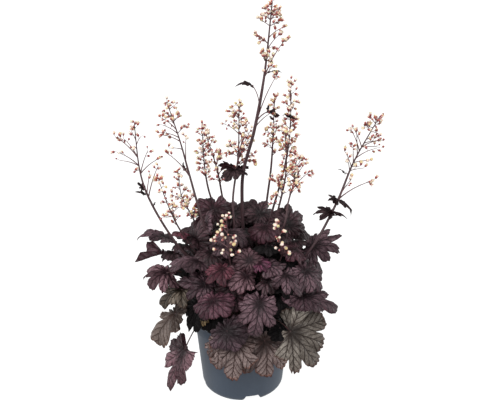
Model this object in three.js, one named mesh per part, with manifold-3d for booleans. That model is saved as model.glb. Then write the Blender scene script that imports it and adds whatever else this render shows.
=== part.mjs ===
// A heuchera plant in a round nursery pot: thin plastic pot, potting soil, knobbly crown, lobed leaves
// on long stalks, and thin flower stems with small bells on side branches.
// Millimetres, +Z up. The origin is the centre of the pot's underside. Azimuth 0 looks along -Y and
// 90 along +X; pitch is the angle above level; every angle is in degrees.
import * as THREE from 'three';
import Module from 'manifold-3d';
import { mergeVertices } from 'three/addons/utils/BufferGeometryUtils.js';

const wasm = await Module();
wasm.setup();
const { Manifold, Mesh: SolidMesh } = wasm;

// ---------------------------------------------------------------- driving sizes
const GAP = 0.3;                 // clearance between touching pieces
const POT_HEIGHT = 148;
const RIM_RADIUS = 95;           // outside of the rim collar
const COLLAR_HEIGHT = 19.5;
const NECK_RADIUS = 88.6;        // outside wall just under the collar
const BASE_RADIUS = 77.4;        // outside wall just over the base's rounding
const BASE_ROUNDING = 14;
const POT_WALL = 1.7;
const POT_FLOOR = 3;
const POT_SEGMENTS = 40;
const NOTCHES = 8;               // drain notches round the base
const NOTCH_WIDTH = 27;
const NOTCH_HEIGHT = 8;
const NOTCH_DEPTH = 20;
const SOIL_TOP = 132;
const CROWN_RADIUS = 44;
const CROWN_TOP = 147;
const STALK_RADIUS = 1.4;        // leaf stalk
const BLADE_HALF = 0.75;         // half a blade's thickness at its middle
const STEM_RADIUS = 1.3;         // flower stem
const BRANCH_RADIUS = 0.6;
const BELL_RADIUS = 2.2;
const SHOOT_RADIUS = 5;          // woody shoot that carries several leaves
const SHOOT_HEIGHT = 9;
const HANGING_HEIGHT = 150;      // blades this low face outwards, and higher ones turn upwards
const FACING_LOW = 10;
const FACING_HIGH = 85;
const FACING_PER_MM = 0.4;

// ---------------------------------------------------------------- small helpers
const rad = (degrees) => degrees * Math.PI / 180;
const clean = (geometry) => {
  geometry.deleteAttribute('normal');
  geometry.deleteAttribute('uv');
  return mergeVertices(geometry, 1e-4);
};
const solid = (geometry) => {
  const g = clean(geometry);
  return new Manifold(new SolidMesh({
    numProp: 3,
    vertProperties: Float32Array.from(g.attributes.position.array),
    triVerts: Uint32Array.from(g.index.array),
  }));
};
const meshOf = (manifold, name, material) => {
  const data = manifold.getMesh();
  const g = new THREE.BufferGeometry();
  g.setAttribute('position', new THREE.BufferAttribute(Float32Array.from(data.vertProperties), 3));
  g.setIndex(Array.from(data.triVerts));
  g.computeVertexNormals();
  const mesh = new THREE.Mesh(g, material);
  mesh.name = name;
  return mesh;
};
const TRIM = 0.02;               // slivers smaller than this are merged away
const unite = (pieces) => pieces.reduce((all, next) => all.add(next)).simplify(TRIM);
/** A straight direction from a heading (azimuth) and a pitch. */
const direction = (heading, pitch) => new THREE.Vector3(
  Math.cos(rad(pitch)) * Math.sin(rad(heading)),
  -Math.cos(rad(pitch)) * Math.cos(rad(heading)),
  Math.sin(rad(pitch)));
/** A round rod of few sides along a curve. */
const rod = (curve, radius, sides, steps) => {
  const section = new THREE.Shape();
  for (let i = 0; i < sides; i += 1) {
    const a = i * 2 * Math.PI / sides;
    section[i ? 'lineTo' : 'moveTo'](radius * Math.cos(a), radius * Math.sin(a));
  }
  return solid(new THREE.ExtrudeGeometry(section, { steps, bevelEnabled: false, extrudePath: curve }));
};
const lathe = (profile, segments) => solid(new THREE.LatheGeometry(
  profile.map(([r, z]) => new THREE.Vector2(r, z)), segments).rotateX(Math.PI / 2));

// ---------------------------------------------------------------- pot, soil and crown
const wallAt = (z) => BASE_RADIUS + (NECK_RADIUS - BASE_RADIUS) * (z - BASE_ROUNDING)
  / (POT_HEIGHT - COLLAR_HEIGHT - BASE_ROUNDING);
const potSolid = () => {
  const flat = BASE_RADIUS - BASE_ROUNDING;
  const under = POT_HEIGHT - COLLAR_HEIGHT;
  const outer = [[0, 0], [flat, 0]];
  for (const a of [30, 60, 90]) {
    outer.push([flat + BASE_ROUNDING * Math.sin(rad(a)), BASE_ROUNDING * (1 - Math.cos(rad(a)))]);
  }
  outer.push([NECK_RADIUS, under], [RIM_RADIUS - 0.8, under + 0.6], [RIM_RADIUS, under + 1.6],
    [RIM_RADIUS, POT_HEIGHT - 1.2], [RIM_RADIUS - 0.9, POT_HEIGHT]);
  const inner = [[RIM_RADIUS - POT_WALL, POT_HEIGHT], [RIM_RADIUS - POT_WALL - 0.3, under + POT_WALL + 1.4],
    [NECK_RADIUS - POT_WALL, under]];
  const round = BASE_ROUNDING - POT_WALL;
  for (const a of [90, 60, 30, 0]) {
    inner.push([flat + round * Math.sin(rad(a)), POT_FLOOR + round * (1 - Math.cos(rad(a)))]);
  }
  inner.push([0, POT_FLOOR]);
  let pot = lathe([...outer, ...inner], POT_SEGMENTS);
  for (let i = 0; i < NOTCHES; i += 1) {
    const notch = new THREE.BoxGeometry(NOTCH_DEPTH, NOTCH_WIDTH, NOTCH_HEIGHT * 2)
      .translate(BASE_RADIUS - NOTCH_DEPTH / 2 + 2, 0, 0)
      .rotateZ(-Math.PI / 2 + rad(10) + i * 2 * Math.PI / NOTCHES);
    pot = pot.subtract(solid(notch));
  }
  return pot;
};
const soilSolid = () => {
  const side = 2 * GAP + POT_WALL;
  const flat = BASE_RADIUS - BASE_ROUNDING;
  const low = BASE_ROUNDING + POT_FLOOR;
  return lathe([[0, POT_FLOOR + GAP], [flat - 1, POT_FLOOR + GAP], [flat + 8, POT_FLOOR + 4],
    [wallAt(low) - side - 0.4, low + 1], [NECK_RADIUS - side, POT_HEIGHT - COLLAR_HEIGHT - 1],
    [NECK_RADIUS - side - 2, SOIL_TOP - 1.5], [CROWN_RADIUS + 6, SOIL_TOP], [0, SOIL_TOP]], 28);
};
const crownSolid = () => lathe([[0, SOIL_TOP + GAP], [CROWN_RADIUS, SOIL_TOP + GAP],
  [CROWN_RADIUS - 1, SOIL_TOP + 4], [CROWN_RADIUS - 9, CROWN_TOP - 5], [CROWN_RADIUS - 24, CROWN_TOP - 1.5],
  [0, CROWN_TOP]], 20);
/** The crown's top over a point, for whatever grows from it. */
const crownHeight = (reach) => {
  const steps = [[0, CROWN_TOP], [CROWN_RADIUS - 24, CROWN_TOP - 1.5], [CROWN_RADIUS - 9, CROWN_TOP - 5],
    [CROWN_RADIUS - 1, SOIL_TOP + 4]];
  for (let i = 1; i < steps.length; i += 1) {
    const [[r0, z0], [r1, z1]] = [steps[i - 1], steps[i]];
    if (reach <= r1) return z0 + (z1 - z0) * (reach - r0) / (r1 - r0);
  }
  return SOIL_TOP + 4;
};
/** A point on the crown, lifted so that a rod of the given radius starts just clear of it. */
const rootPoint = (azimuth, reach, radius) => new THREE.Vector3(
  reach * Math.sin(rad(azimuth)), -reach * Math.cos(rad(azimuth)),
  crownHeight(reach) + GAP + radius * 0.42);

// ---------------------------------------------------------------- leaves
// Lobe tips of one side as [angle from the midrib, reach], then the notches between them.
const FORMS = {
  broad: { tips: [[0, 1], [38, 0.96], [78, 0.88], [122, 0.78]], notches: [0.82, 0.78, 0.7], heel: 0.6 },
  long: { tips: [[0, 1.04], [36, 0.88], [76, 0.76], [120, 0.64]], notches: [0.64, 0.6, 0.54], heel: 0.45 },
  slim: { tips: [[0, 1.05], [30, 0.8], [70, 0.56], [115, 0.42]], notches: [0.55, 0.44, 0.36], heel: 0.3 },
  bract: { tips: [[0, 1], [42, 0.85], [88, 0.6]], notches: [0.45, 0.4] },
};
const HEEL_ANGLE = 157;          // the rounded corner beside the sinus
const SINUS_REACH = 0.12;
/** The outline as [angle, reach] from the sinus behind the stalk, once round. */
const outline = (form) => {
  const { tips, notches, heel } = FORMS[form];
  const half = [];
  tips.slice(1).forEach(([angle, reach], i) => {
    half.push([(tips[i][0] + angle) / 2, notches[i]], [angle, reach]);
  });
  if (heel) half.push([HEEL_ANGLE, heel]);
  const left = half.map(([a, r]) => [-a, r]).reverse();
  return [[-180, SINUS_REACH], ...left, tips[0], ...half];
};
/** The blade's three axes: x across, y along the midrib, z out of its upper face. */
const bladeAxes = (point, heading, pitch, roll) => {
  const y = direction(heading, pitch);
  const facing = FACING_LOW + FACING_PER_MM * (point.z - HANGING_HEIGHT);
  const outward = direction(Math.atan2(point.x, -point.y) * 180 / Math.PI,
    Math.min(FACING_HIGH, Math.max(FACING_LOW, facing)));
  const z = outward.clone().addScaledVector(y, -outward.dot(y)).normalize().applyAxisAngle(y, rad(roll));
  return { x: new THREE.Vector3().crossVectors(y, z), y, z };
};
/** A lobed blade: a flattened ball drawn out to the lobed outline, cupped, and bent down to its tip. */
const bladeSolid = ({ at, heading, pitch, roll, length, droop, cup, form, coarse = false }) => {
  const points = outline(form);
  const columns = points.length;
  const bend = rad(droop);
  const axes = bladeAxes(at, heading, pitch + droop / 2, roll);
  const basis = new THREE.Matrix4().makeBasis(axes.x, axes.y, axes.z).setPosition(at);
  const reaches = coarse ? [0, 1, 0] : [0, 0.62, 1, 0.62, 0];
  const heights = coarse ? [1, 0, -1] : [1, 0.8, 0, -0.8, -1];
  const ball = new THREE.SphereGeometry(1, columns, reaches.length - 1);
  const position = ball.attributes.position;
  for (let row = 0; row < reaches.length; row += 1) {
    for (let column = 0; column <= columns; column += 1) {
      const [angle, reach] = points[column % columns];
      const r = length * reach * reaches[row];
      const x = -r * Math.sin(rad(angle));
      const y = r * Math.cos(rad(angle));
      const up = cup * x * x / length + heights[row] * BLADE_HALF;
      const turn = bend * y / length;
      const hub = length / bend;
      position.setXYZ(row * (columns + 1) + column, x,
        (hub + up) * Math.sin(turn), (hub + up) * Math.cos(turn) - hub);
    }
  }
  return solid(ball.applyMatrix4(basis));
};
/** A leaf stalk: up off the crown, over, and down or out to the blade. */
const stalkSolid = (at, root, arch) => {
  const low = 145;
  const over = Math.max(205, at.z - 0.25 * (at.z - low)) + arch;
  const bendPoint = new THREE.Vector3(root.x + 0.45 * (at.x - root.x), root.y + 0.45 * (at.y - root.y), over);
  return rod(new THREE.QuadraticBezierCurve3(root, bendPoint, at), STALK_RADIUS, 4, 4);
};
const leafSolid = ({ at, ring, spin = 0, arch = 0, heading, pitch, roll = 0, length, droop = 30,
  cup = -0.12, form = 'broad' }) => {
  const azimuth = Math.atan2(at.x, -at.y) * 180 / Math.PI + spin;
  const root = rootPoint(azimuth, ring, STALK_RADIUS);
  return unite([bladeSolid({ at, heading, pitch, roll, length, droop, cup, form }),
    stalkSolid(at, root, arch)]);
};
/** A short woody shoot on the crown with a few leaves of its own. */
const shootSolid = ({ azimuth, ring, leaves }) => {
  const root = rootPoint(azimuth, ring, SHOOT_RADIUS);
  const foot = crownHeight(Math.max(0, ring - SHOOT_RADIUS)) + GAP;
  const pieces = [solid(new THREE.CylinderGeometry(SHOOT_RADIUS * 0.8, SHOOT_RADIUS, SHOOT_HEIGHT, 8)
    .rotateX(Math.PI / 2).translate(root.x, root.y, foot + SHOOT_HEIGHT / 2))];
  leaves.forEach(({ turn, reach, height, pitch, length, side }, i) => {
    const leafAzimuth = azimuth + turn;
    const at = new THREE.Vector3(reach * Math.sin(rad(leafAzimuth)), -reach * Math.cos(rad(leafAzimuth)), height);
    const start = new THREE.Vector3(root.x, root.y, foot + SHOOT_HEIGHT * 0.6)
      .addScaledVector(direction(leafAzimuth, 0), 2 - 2 * i);
    pieces.push(stalkSolid(at, start, 0), bladeSolid({ at, heading: leafAzimuth + side, pitch, roll: 0, length,
      droop: 35, cup: -0.15, form: 'broad', coarse: true }));
  });
  return unite(pieces);
};

// name, where the stalk meets the blade, heading, pitch, length, then what differs from the usual
const LEAVES = [
  ['leaf_01', [-135, -10, 305], -75, 15, 62, { ring: 26, form: 'slim', cup: -0.4 }],
  ['leaf_02', [-140, -20, 280], -80, -12, 60, { ring: 32, roll: 10, form: 'slim', cup: -0.4 }],
  ['leaf_03', [-130, -75, 263], -70, -4, 50, { ring: 38, arch: 40 }],
  ['leaf_04', [-72, -92, 294], -65, 5, 58, { ring: 26, arch: 8 }],
  ['leaf_05', [-107, -92, 240], -70, -30, 48, { ring: 38, arch: 25 }],
  ['leaf_06', [-118, -80, 190], -60, -45, 62, { ring: 40, spin: -40, form: 'slim', cup: -0.5 }],
  ['leaf_07', [-76, -80, 205], -75, -70, 56, { ring: 34, form: 'slim' }],
  ['leaf_08', [-105, -80, 115], -70, -70, 85, { ring: 41, form: 'long' }],
  ['leaf_09', [-82, -32, 306], 175, 60, 50, { ring: 24, form: 'long' }],
  ['leaf_10', [-52, 8, 342], -160, 20, 40, { ring: 19 }],
  ['leaf_11', [-18, 20, 335], -175, 25, 48, { ring: 19, form: 'long' }],
  ['leaf_12', [32, 10, 343], -160, 22, 46, { ring: 19, form: 'long' }],
  ['leaf_13', [80, -25, 335], 130, 8, 56, { ring: 22, form: 'long' }],
  ['leaf_15', [120, -34, 292], 95, 4, 58, { ring: 30, form: 'long' }],
  ['leaf_16', [107, -102, 282], 70, -45, 50, { ring: 30, arch: 20 }],
  ['leaf_17', [73, -120, 284], 40, -37, 42, { ring: 34 }],
  ['leaf_18', [100, -122, 243], 75, -27, 60, { ring: 38, roll: 15 }],
  ['leaf_20', [82, -143, 190], 77, -21, 66, { ring: 41, droop: 20 }],
  ['leaf_21', [113, -72, 206], 80, -55, 56, { ring: 40, form: 'long' }],
  ['leaf_22', [38, -108, 150], 15, -85, 66, { ring: 41 }],
  ['leaf_23', [-8, -128, 160], -5, -85, 70, { ring: 41, arch: 10 }],
  ['leaf_24', [-25, -142, 190], 40, -63, 48, { ring: 38, arch: 20 }],
  ['leaf_25', [30, -148, 246], -5, -64, 62, { ring: 34, form: 'long' }],
  ['leaf_26', [-52, -142, 244], -2, -48, 46, { ring: 34 }],
  ['leaf_27', [8, -112, 278], -78, -4, 46, { ring: 30, form: 'long' }],
  ['leaf_28', [-31, -128, 300], -45, -30, 40, { ring: 28, arch: 10 }],
  ['leaf_29', [-62, -98, 254], -80, 0, 44, { ring: 32, arch: 8 }],
  ['leaf_30', [13, -103, 302], -175, 32, 32, { ring: 22, spin: 12, arch: 28 }],
  ['leaf_31', [45, -107, 296], 85, -10, 30, { ring: 30 }],
  ['leaf_32', [42, -115, 270], 62, -24, 27, { ring: 36 }],
  ['leaf_33', [94, -72, 308], -65, -2, 33, { ring: 24, arch: 10 }],
  ['leaf_34', [40, -44, 338], -20, -36, 33, { ring: 18 }],
  ['leaf_35', [-24, -58, 334], 55, -17, 42, { ring: 18 }],
  ['leaf_36', [-30, -62, 318], -40, -35, 32, { ring: 26 }],
  ['leaf_37', [42, -76, 316], 10, -12, 27, { ring: 20 }],
];

// Shoots at the back and the sides, three leaves each: a high, a middle and a low one, staggered.
const SHOOTS = 7;
const SHOOT_FROM = 112;          // azimuth of the first
const SHOOT_STEP = 21;
const SHOOT_RING = 32;
const shootAt = (i) => {
  const near = i % 2;
  return {
    azimuth: SHOOT_FROM + SHOOT_STEP * i, ring: SHOOT_RING,
    leaves: [
      { turn: 4, reach: 88 - 14 * near, height: 300 + 16 * near, pitch: 2 - 4 * near, length: 52 - 6 * near, side: 12 },
      { turn: -5, reach: 122 + 10 * near, height: 252 - 14 * near, pitch: -34, length: 52, side: -10 },
      { turn: 3, reach: 128 - 12 * near, height: 190 - 12 * near, pitch: -62, length: 54, side: 8 },
    ],
  };
};

// ---------------------------------------------------------------- flower stems
const bellSolid = (at) => solid(new THREE.SphereGeometry(BELL_RADIUS, 4, 2).rotateX(Math.PI / 2)
  .translate(at.x, at.y, at.z));
/** A small side branch with a bell at its end. */
const branchSolids = (from, heading, pitch, length) => {
  const way = direction(heading, pitch);
  const end = from.clone().addScaledVector(way, length);
  return [rod(new THREE.LineCurve3(from, end), BRANCH_RADIUS, 3, 1), bellSolid(end)];
};
const TURN = 137.5;              // degrees between one side branch and the next
const STEM_STEPS = 10;
/** A point a fraction of the way along the rod's own straight steps. */
const along = (curve, fraction) => {
  const step = Math.floor(fraction * STEM_STEPS);
  const from = curve.getPointAt(step / STEM_STEPS);
  return from.lerp(curve.getPointAt(Math.min(1, (step + 1) / STEM_STEPS)), fraction * STEM_STEPS - step);
};
const stemSolid = ({ ring, azimuth, route, flowering, branches, spread, forks = [], leaves = [] }) => {
  const root = rootPoint(azimuth, ring, STEM_RADIUS);
  const curve = new THREE.CatmullRomCurve3([root, ...route.map((p) => new THREE.Vector3(...p))],
    false, 'centripetal');
  const pieces = [rod(curve, STEM_RADIUS, 4, STEM_STEPS)];
  for (let i = 0; i < branches; i += 1) {
    const t = flowering + (0.985 - flowering) * i / (branches - 1);
    const taper = 1 - 0.62 * i / (branches - 1);
    pieces.push(...branchSolids(along(curve, t), azimuth + i * TURN, 28, spread * taper));
  }
  pieces.push(bellSolid(curve.getPointAt(1)));
  for (const [t, heading, pitch, length] of forks) {
    pieces.push(...branchSolids(along(curve, t), heading, pitch, length));
  }
  for (const [t, heading, pitch, stalk, length] of leaves) {
    const from = along(curve, t);
    const at = from.clone().addScaledVector(direction(heading, pitch), stalk);
    pieces.push(rod(new THREE.LineCurve3(from, at), BRANCH_RADIUS * 1.3, 4, 1));
    pieces.push(bladeSolid({ at, heading, pitch, roll: 0, length, droop: 35, cup: -0.2, form: 'bract',
      coarse: true }));
  }
  return unite(pieces);
};
const STEMS = [
  ['flower_stem_01', { ring: 15, azimuth: -50, flowering: 0.62, branches: 8, spread: 26,
    route: [[-50, -40, 225], [-114, -60, 316], [-159, -45, 393], [-173, -35, 436], [-180, -25, 517]],
    forks: [[0.85, -92, 40, 46]] }],
  ['flower_stem_02', { ring: 9, azimuth: -35, flowering: 0.66, branches: 8, spread: 18,
    route: [[-40, -34, 260], [-67, -38, 343], [-91, -10, 421], [-106, -5, 481], [-127, 0, 550]] }],
  ['flower_stem_03', { ring: 14, azimuth: -85, flowering: 0.7, branches: 6, spread: 16,
    route: [[-52, -28, 240], [-92, -46, 308], [-110, -55, 345], [-125, -70, 395], [-137, -75, 444]] }],
  ['flower_stem_04', { ring: 14, azimuth: -132, flowering: 0.66, branches: 7, spread: 17,
    route: [[-52, 0, 250], [-74, -2, 296], [-89, 5, 337], [-107, 0, 379], [-112, -5, 427]] }],
  ['flower_stem_05', { ring: 20, azimuth: -156, flowering: 0.66, branches: 7, spread: 14,
    route: [[-19, 27, 240], [-32, 30, 305], [-58, 44, 362], [-67, 38, 413], [-71, 35, 499]] }],
  ['flower_stem_06', { ring: 15, azimuth: 155, flowering: 0.66, branches: 7, spread: 14,
    route: [[-14, 32, 260], [-36, 48, 356], [-45, 30, 420], [-63, 15, 490]] }],
  ['flower_stem_07', { ring: 6, azimuth: -20, flowering: 0.6, branches: 8, spread: 18,
    route: [[-6, -18, 260], [-14, -22, 336], [-16, -15, 380], [-7, 20, 449], [-5, 30, 541]],
    leaves: [[0.6, -20, -20, 6, 26]] }],
  ['flower_stem_08', { ring: 2, azimuth: 90, flowering: 0.72, branches: 10, spread: 26,
    route: [[4, 2, 260], [0, 0, 365], [2, 0, 423], [21, -5, 500], [37, -5, 589], [50, 0, 713]],
    leaves: [[0.7, -90, 50, 26, 22], [0.63, 60, 60, 60, 16]] }],
  ['flower_stem_09', { ring: 13, azimuth: 120, flowering: 0.64, branches: 7, spread: 16,
    route: [[26, 16, 260], [40, 26, 316], [45, 50, 352], [53, 60, 418], [58, 60, 546]] }],
  ['flower_stem_10', { ring: 8, azimuth: 90, flowering: 0.62, branches: 9, spread: 20,
    route: [[32, -12, 260], [53, -15, 356], [75, 0, 436], [83, 5, 500], [83, 5, 583]] }],
  ['flower_stem_11', { ring: 14, azimuth: 75, flowering: 0.66, branches: 7, spread: 16,
    route: [[40, -18, 260], [60, -30, 352], [76, -20, 430], [73, -30, 507]] }],
  ['flower_stem_12', { ring: 12, azimuth: 50, flowering: 0.66, branches: 7, spread: 16,
    route: [[50, -36, 260], [62, -46, 318], [73, -66, 354], [79, -52, 387], [90, -30, 420], [94, -20, 462]] }],
  ['flower_stem_13', { ring: 17, azimuth: 60, flowering: 0.66, branches: 8, spread: 26,
    route: [[50, -28, 215], [84, -46, 258], [119, -62, 305], [164, -36, 382], [192, -20, 450], [233, -15, 529]],
    leaves: [[0.6, 60, 5, 5, 26], [0.53, -110, 10, 8, 30]] }],
  ['flower_stem_14', { ring: 26, azimuth: -8, flowering: 0.68, branches: 7, spread: 14,
    route: [[-14, -80, 255], [-20, -98, 300], [-20, -112, 332], [-21, -125, 399]] }],
  ['flower_stem_15', { ring: 24, azimuth: 28, flowering: 0.72, branches: 6, spread: 10,
    route: [[48, -62, 250], [68, -82, 300], [65, -108, 332], [61, -115, 382]] }],
];

// ---------------------------------------------------------------- assembly
const paint = (hex, roughness) => new THREE.MeshStandardMaterial({ color: hex, roughness });
const COLOURS = {
  pot: paint(0x56626e, 0.5), soil: paint(0x2e2620, 0.95), crown: paint(0x4a3a30, 0.9),
  leaf: paint(0x5e454c, 0.6), stem: paint(0x4a2c33, 0.6),
};
const part = new THREE.Group();
part.name = 'heuchera_in_pot';
part.add(meshOf(potSolid(), 'pot', COLOURS.pot));
part.add(meshOf(soilSolid(), 'potting_soil', COLOURS.soil));
part.add(meshOf(crownSolid(), 'crown', COLOURS.crown));
for (const [name, at, heading, pitch, length, rest] of LEAVES) {
  const leaf = leafSolid({ at: new THREE.Vector3(...at), heading, pitch, length, ...rest });
  part.add(meshOf(leaf, name, COLOURS.leaf));
}
for (let i = 0; i < SHOOTS; i += 1) {
  part.add(meshOf(shootSolid(shootAt(i)), `back_shoot_${i + 1}`, COLOURS.leaf));
}
for (const [name, stem] of STEMS) part.add(meshOf(stemSolid(stem), name, COLOURS.stem));

export default part;
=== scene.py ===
"""The visible heuchera in its nursery pot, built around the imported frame.

Every length is in millimetres until a mesh is made, when it becomes metres. +Z is up and the origin is
the centre of the pot's underside. Azimuth 0 looks along -Y and 90 along +X, pitch is the angle above
level, and every angle is in degrees. A surface is a grid of points over two parameters, worked out as
whole arrays.
"""

import logging
import math
from dataclasses import dataclass, field, replace
from enum import Enum
from typing import Any, Sequence

import bpy
import numpy as np
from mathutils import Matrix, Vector


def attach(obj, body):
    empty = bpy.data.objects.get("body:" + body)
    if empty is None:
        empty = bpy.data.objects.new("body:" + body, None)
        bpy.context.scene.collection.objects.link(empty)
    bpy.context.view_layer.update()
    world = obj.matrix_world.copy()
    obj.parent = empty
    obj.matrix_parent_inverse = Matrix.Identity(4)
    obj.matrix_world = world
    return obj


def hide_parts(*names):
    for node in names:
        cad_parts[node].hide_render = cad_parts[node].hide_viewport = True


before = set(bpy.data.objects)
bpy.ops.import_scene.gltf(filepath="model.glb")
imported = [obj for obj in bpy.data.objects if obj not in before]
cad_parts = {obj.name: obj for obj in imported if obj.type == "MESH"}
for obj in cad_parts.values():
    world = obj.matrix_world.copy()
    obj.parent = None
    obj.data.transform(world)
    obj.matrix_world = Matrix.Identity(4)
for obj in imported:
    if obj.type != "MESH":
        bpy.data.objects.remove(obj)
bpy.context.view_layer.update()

MM = 0.001
BODY = "root"
LOG = logging.getLogger("heuchera")

# driving sizes, the same as the solids' apart from the drain notches
GAP = 0.3
POT_HEIGHT = 148.0
RIM_RADIUS = 95.0
COLLAR_HEIGHT = 19.5
NECK_RADIUS = 88.6
BASE_RADIUS = 77.4
BASE_ROUNDING = 14.0
POT_WALL = 1.7
POT_FLOOR = 3.0
NOTCHES = 4
NOTCH_TURN = -76.4  # azimuth of the first drain notch, measured from +X
NOTCH_WIDTH = 42.0  # at the ground
NOTCH_TAPER = 9.5  # how much each side leans in up to the top
NOTCH_HEIGHT = 14.6
NOTCH_INNER = 54.0  # reach of its back wall
NOTCH_OUTER = 84.0  # well outside the foot
NOTCH_LOWEST = -2.0  # under the ground, so that the cut is clean
SOIL_TOP = 132.0
CROWN_RADIUS = 44.0
CROWN_TOP = 147.0
STALK_RADIUS = 1.4
STEM_RADIUS = 1.3
GOLDEN_TURN = 137.5  # degrees between one side branch and the next
HANGING_HEIGHT = 150.0  # blades this low face outwards, and higher ones turn upwards
FACING_LOW = 10.0
FACING_HIGH = 85.0
FACING_PER_MM = 0.4

Array = np.ndarray


# ---------------- directions and paths
def direction(heading: float | Array, pitch: float | Array) -> Array:
    """A unit vector: (cos pitch sin heading, -cos pitch cos heading, sin pitch).

    Args:
        heading: azimuth, one or many.
        pitch: angle above level, one or many.

    Returns:
        The vectors, with a last axis of 3.
    """
    h, p = np.radians(heading), np.radians(pitch)
    h, p = np.broadcast_arrays(h, p)
    return np.stack([np.cos(p) * np.sin(h), -np.cos(p) * np.cos(h), np.sin(p)], -1)


def unit(vectors: Array) -> Array:
    """The vectors, each at length 1."""
    return vectors / np.maximum(np.linalg.norm(vectors, axis=-1, keepdims=True), 1e-9)


def bezier(start: Array, middle: Array, end: Array, steps: int) -> Array:
    """A quadratic curve: (1-t)^2 start + 2t(1-t) middle + t^2 end.

    Args:
        start: where it begins; a last axis of 3, with any leading axes.
        middle: the point it bends towards.
        end: where it ends.
        steps: how many straight steps it has.

    Returns:
        The points, with the steps as the second last axis.
    """
    t = np.linspace(0, 1, steps + 1)[:, None]
    start, middle, end = (np.asarray(p, float)[..., None, :] for p in (start, middle, end))
    return (1 - t) ** 2 * start + 2 * t * (1 - t) * middle + t ** 2 * end


def smooth_route(points: Sequence[Sequence[float]], steps: int) -> Array:
    """A smooth curve through all the points, in equal lengths.

    Between two points it is the cubic Hermite curve whose end slopes are those of a centripetal
    Catmull-Rom spline: knots are spaced by the square root of the distance.

    Args:
        points: the points it passes through.
        steps: how many equal steps to return.

    Returns:
        The points on the curve, one more than steps.
    """
    p = np.asarray(points, float)
    p = np.concatenate([[2 * p[0] - p[1]], p, [2 * p[-1] - p[-2]]])
    gap = np.sqrt(np.linalg.norm(np.diff(p, axis=0), axis=1))[:, None]
    before, here, after = gap[:-2], gap[1:-1], gap[2:]
    p0, p1, p2, p3 = p[:-3], p[1:-2], p[2:-1], p[3:]
    slope1 = ((p1 - p0) / before - (p2 - p0) / (before + here) + (p2 - p1) / here) * here
    slope2 = ((p2 - p1) / here - (p3 - p1) / (here + after) + (p3 - p2) / after) * here
    t = np.linspace(0, 1, 60, endpoint=False)[None, :, None]
    curve = ((2 * t ** 3 - 3 * t ** 2 + 1) * p1[:, None] + (t ** 3 - 2 * t ** 2 + t) * slope1[:, None]
             + (3 * t ** 2 - 2 * t ** 3) * p2[:, None] + (t ** 3 - t ** 2) * slope2[:, None])
    fine = np.concatenate([curve.reshape(-1, 3), p[-2:-1]])
    length = np.concatenate([[0], np.cumsum(np.linalg.norm(np.diff(fine, axis=0), axis=1))])
    even = np.linspace(0, length[-1], steps + 1)
    return np.stack([np.interp(even, length, fine[:, k]) for k in range(3)], -1)


# ---------------- surfaces
@dataclass
class Patch:
    """One closed surface and what its material reads.

    Attributes:
        points: its points in millimetres, (n, 3).
        quads: four point numbers a face, (m, 4).
        tris: three point numbers a face, (k, 3).
        material: which of the piece's materials it wears.
        uv: one pair for each face corner, the quads' first, or none.
        values: a number for each point, by attribute name.
    """

    points: Array
    quads: Array
    tris: Array
    material: int = 0
    uv: Array | None = None
    values: dict[str, Array] = field(default_factory=dict)


def closed_faces(rows: int, columns: int) -> tuple[Array, Array]:
    """Faces of a grid whose columns go once round, with a pole before its first row and one after its last.

    Args:
        rows: rows in the grid.
        columns: points in a row. The two poles are the points after the grid's.

    Returns:
        The quads between the rows, and both poles' triangles.
    """
    i, j = np.meshgrid(np.arange(rows - 1), np.arange(columns), indexing="ij")
    k = (j + 1) % columns
    quads = np.stack([i * columns + j, i * columns + k, (i + 1) * columns + k, (i + 1) * columns + j], -1)
    j = np.arange(columns)
    k, last, pole = (j + 1) % columns, (rows - 1) * columns, np.full(columns, rows * columns)
    tris = np.concatenate([np.stack([k, j, pole], -1), np.stack([pole + 1, last + j, last + k], -1)])
    return quads.reshape(-1, 4), tris


def side_axes(paths: Array) -> tuple[Array, Array]:
    """Two directions across each path, from one fixed direction that the path doesn't follow.

    Args:
        paths: points, (k, n, 3).

    Returns:
        Two unit vectors at every point, square to the path and to each other.
    """
    tangent = unit(np.gradient(paths, axis=1))
    mean = np.abs(tangent.mean(1))
    fixed = np.eye(3)[np.argmin(mean, axis=-1)][:, None, :]
    one = unit(np.cross(tangent, fixed))
    return one, np.cross(tangent, one)


def tubes(paths: Array, radii: Array, sides: int, material: int = 0,
          values: dict[str, Array] | None = None) -> Patch:
    """Round rods: circles of the given radius about each point of each path, closed by a pole at both ends.

    Args:
        paths: points, (k, n, 3), or (n, 3) for one rod.
        radii: the radius at each point, (k, n), (n,) or one number.
        sides: points round a rod.
        material: which material the rods wear.
        values: for each attribute, a number for each path point, (k, n).

    Returns:
        All the rods as one patch.
    """
    paths = paths if paths.ndim == 3 else paths[None]
    count, steps, _ = paths.shape
    radii = np.broadcast_to(radii, (count, steps))
    one, two = side_axes(paths)
    turn = np.arange(sides) * 2 * math.pi / sides
    ring = (np.cos(turn)[:, None] * one[:, :, None, :] + np.sin(turn)[:, None] * two[:, :, None, :])
    points = paths[:, :, None, :] + radii[:, :, None, None] * ring
    block = np.concatenate([points.reshape(count, -1, 3), paths[:, :1], paths[:, -1:]], axis=1)
    quads, tris = closed_faces(steps, sides)
    shift = (np.arange(count) * block.shape[1])[:, None, None]
    spread = {}
    for name, value in (values or {}).items():
        value = np.broadcast_to(value, (count, steps))
        spread[name] = np.concatenate([np.repeat(value, sides, axis=1), value[:, :1], value[:, -1:]],
                                      axis=1).ravel()
    return Patch(block.reshape(-1, 3), (quads[None] + shift).reshape(-1, 4),
                 (tris[None] + shift).reshape(-1, 3), material, None, spread)


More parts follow.
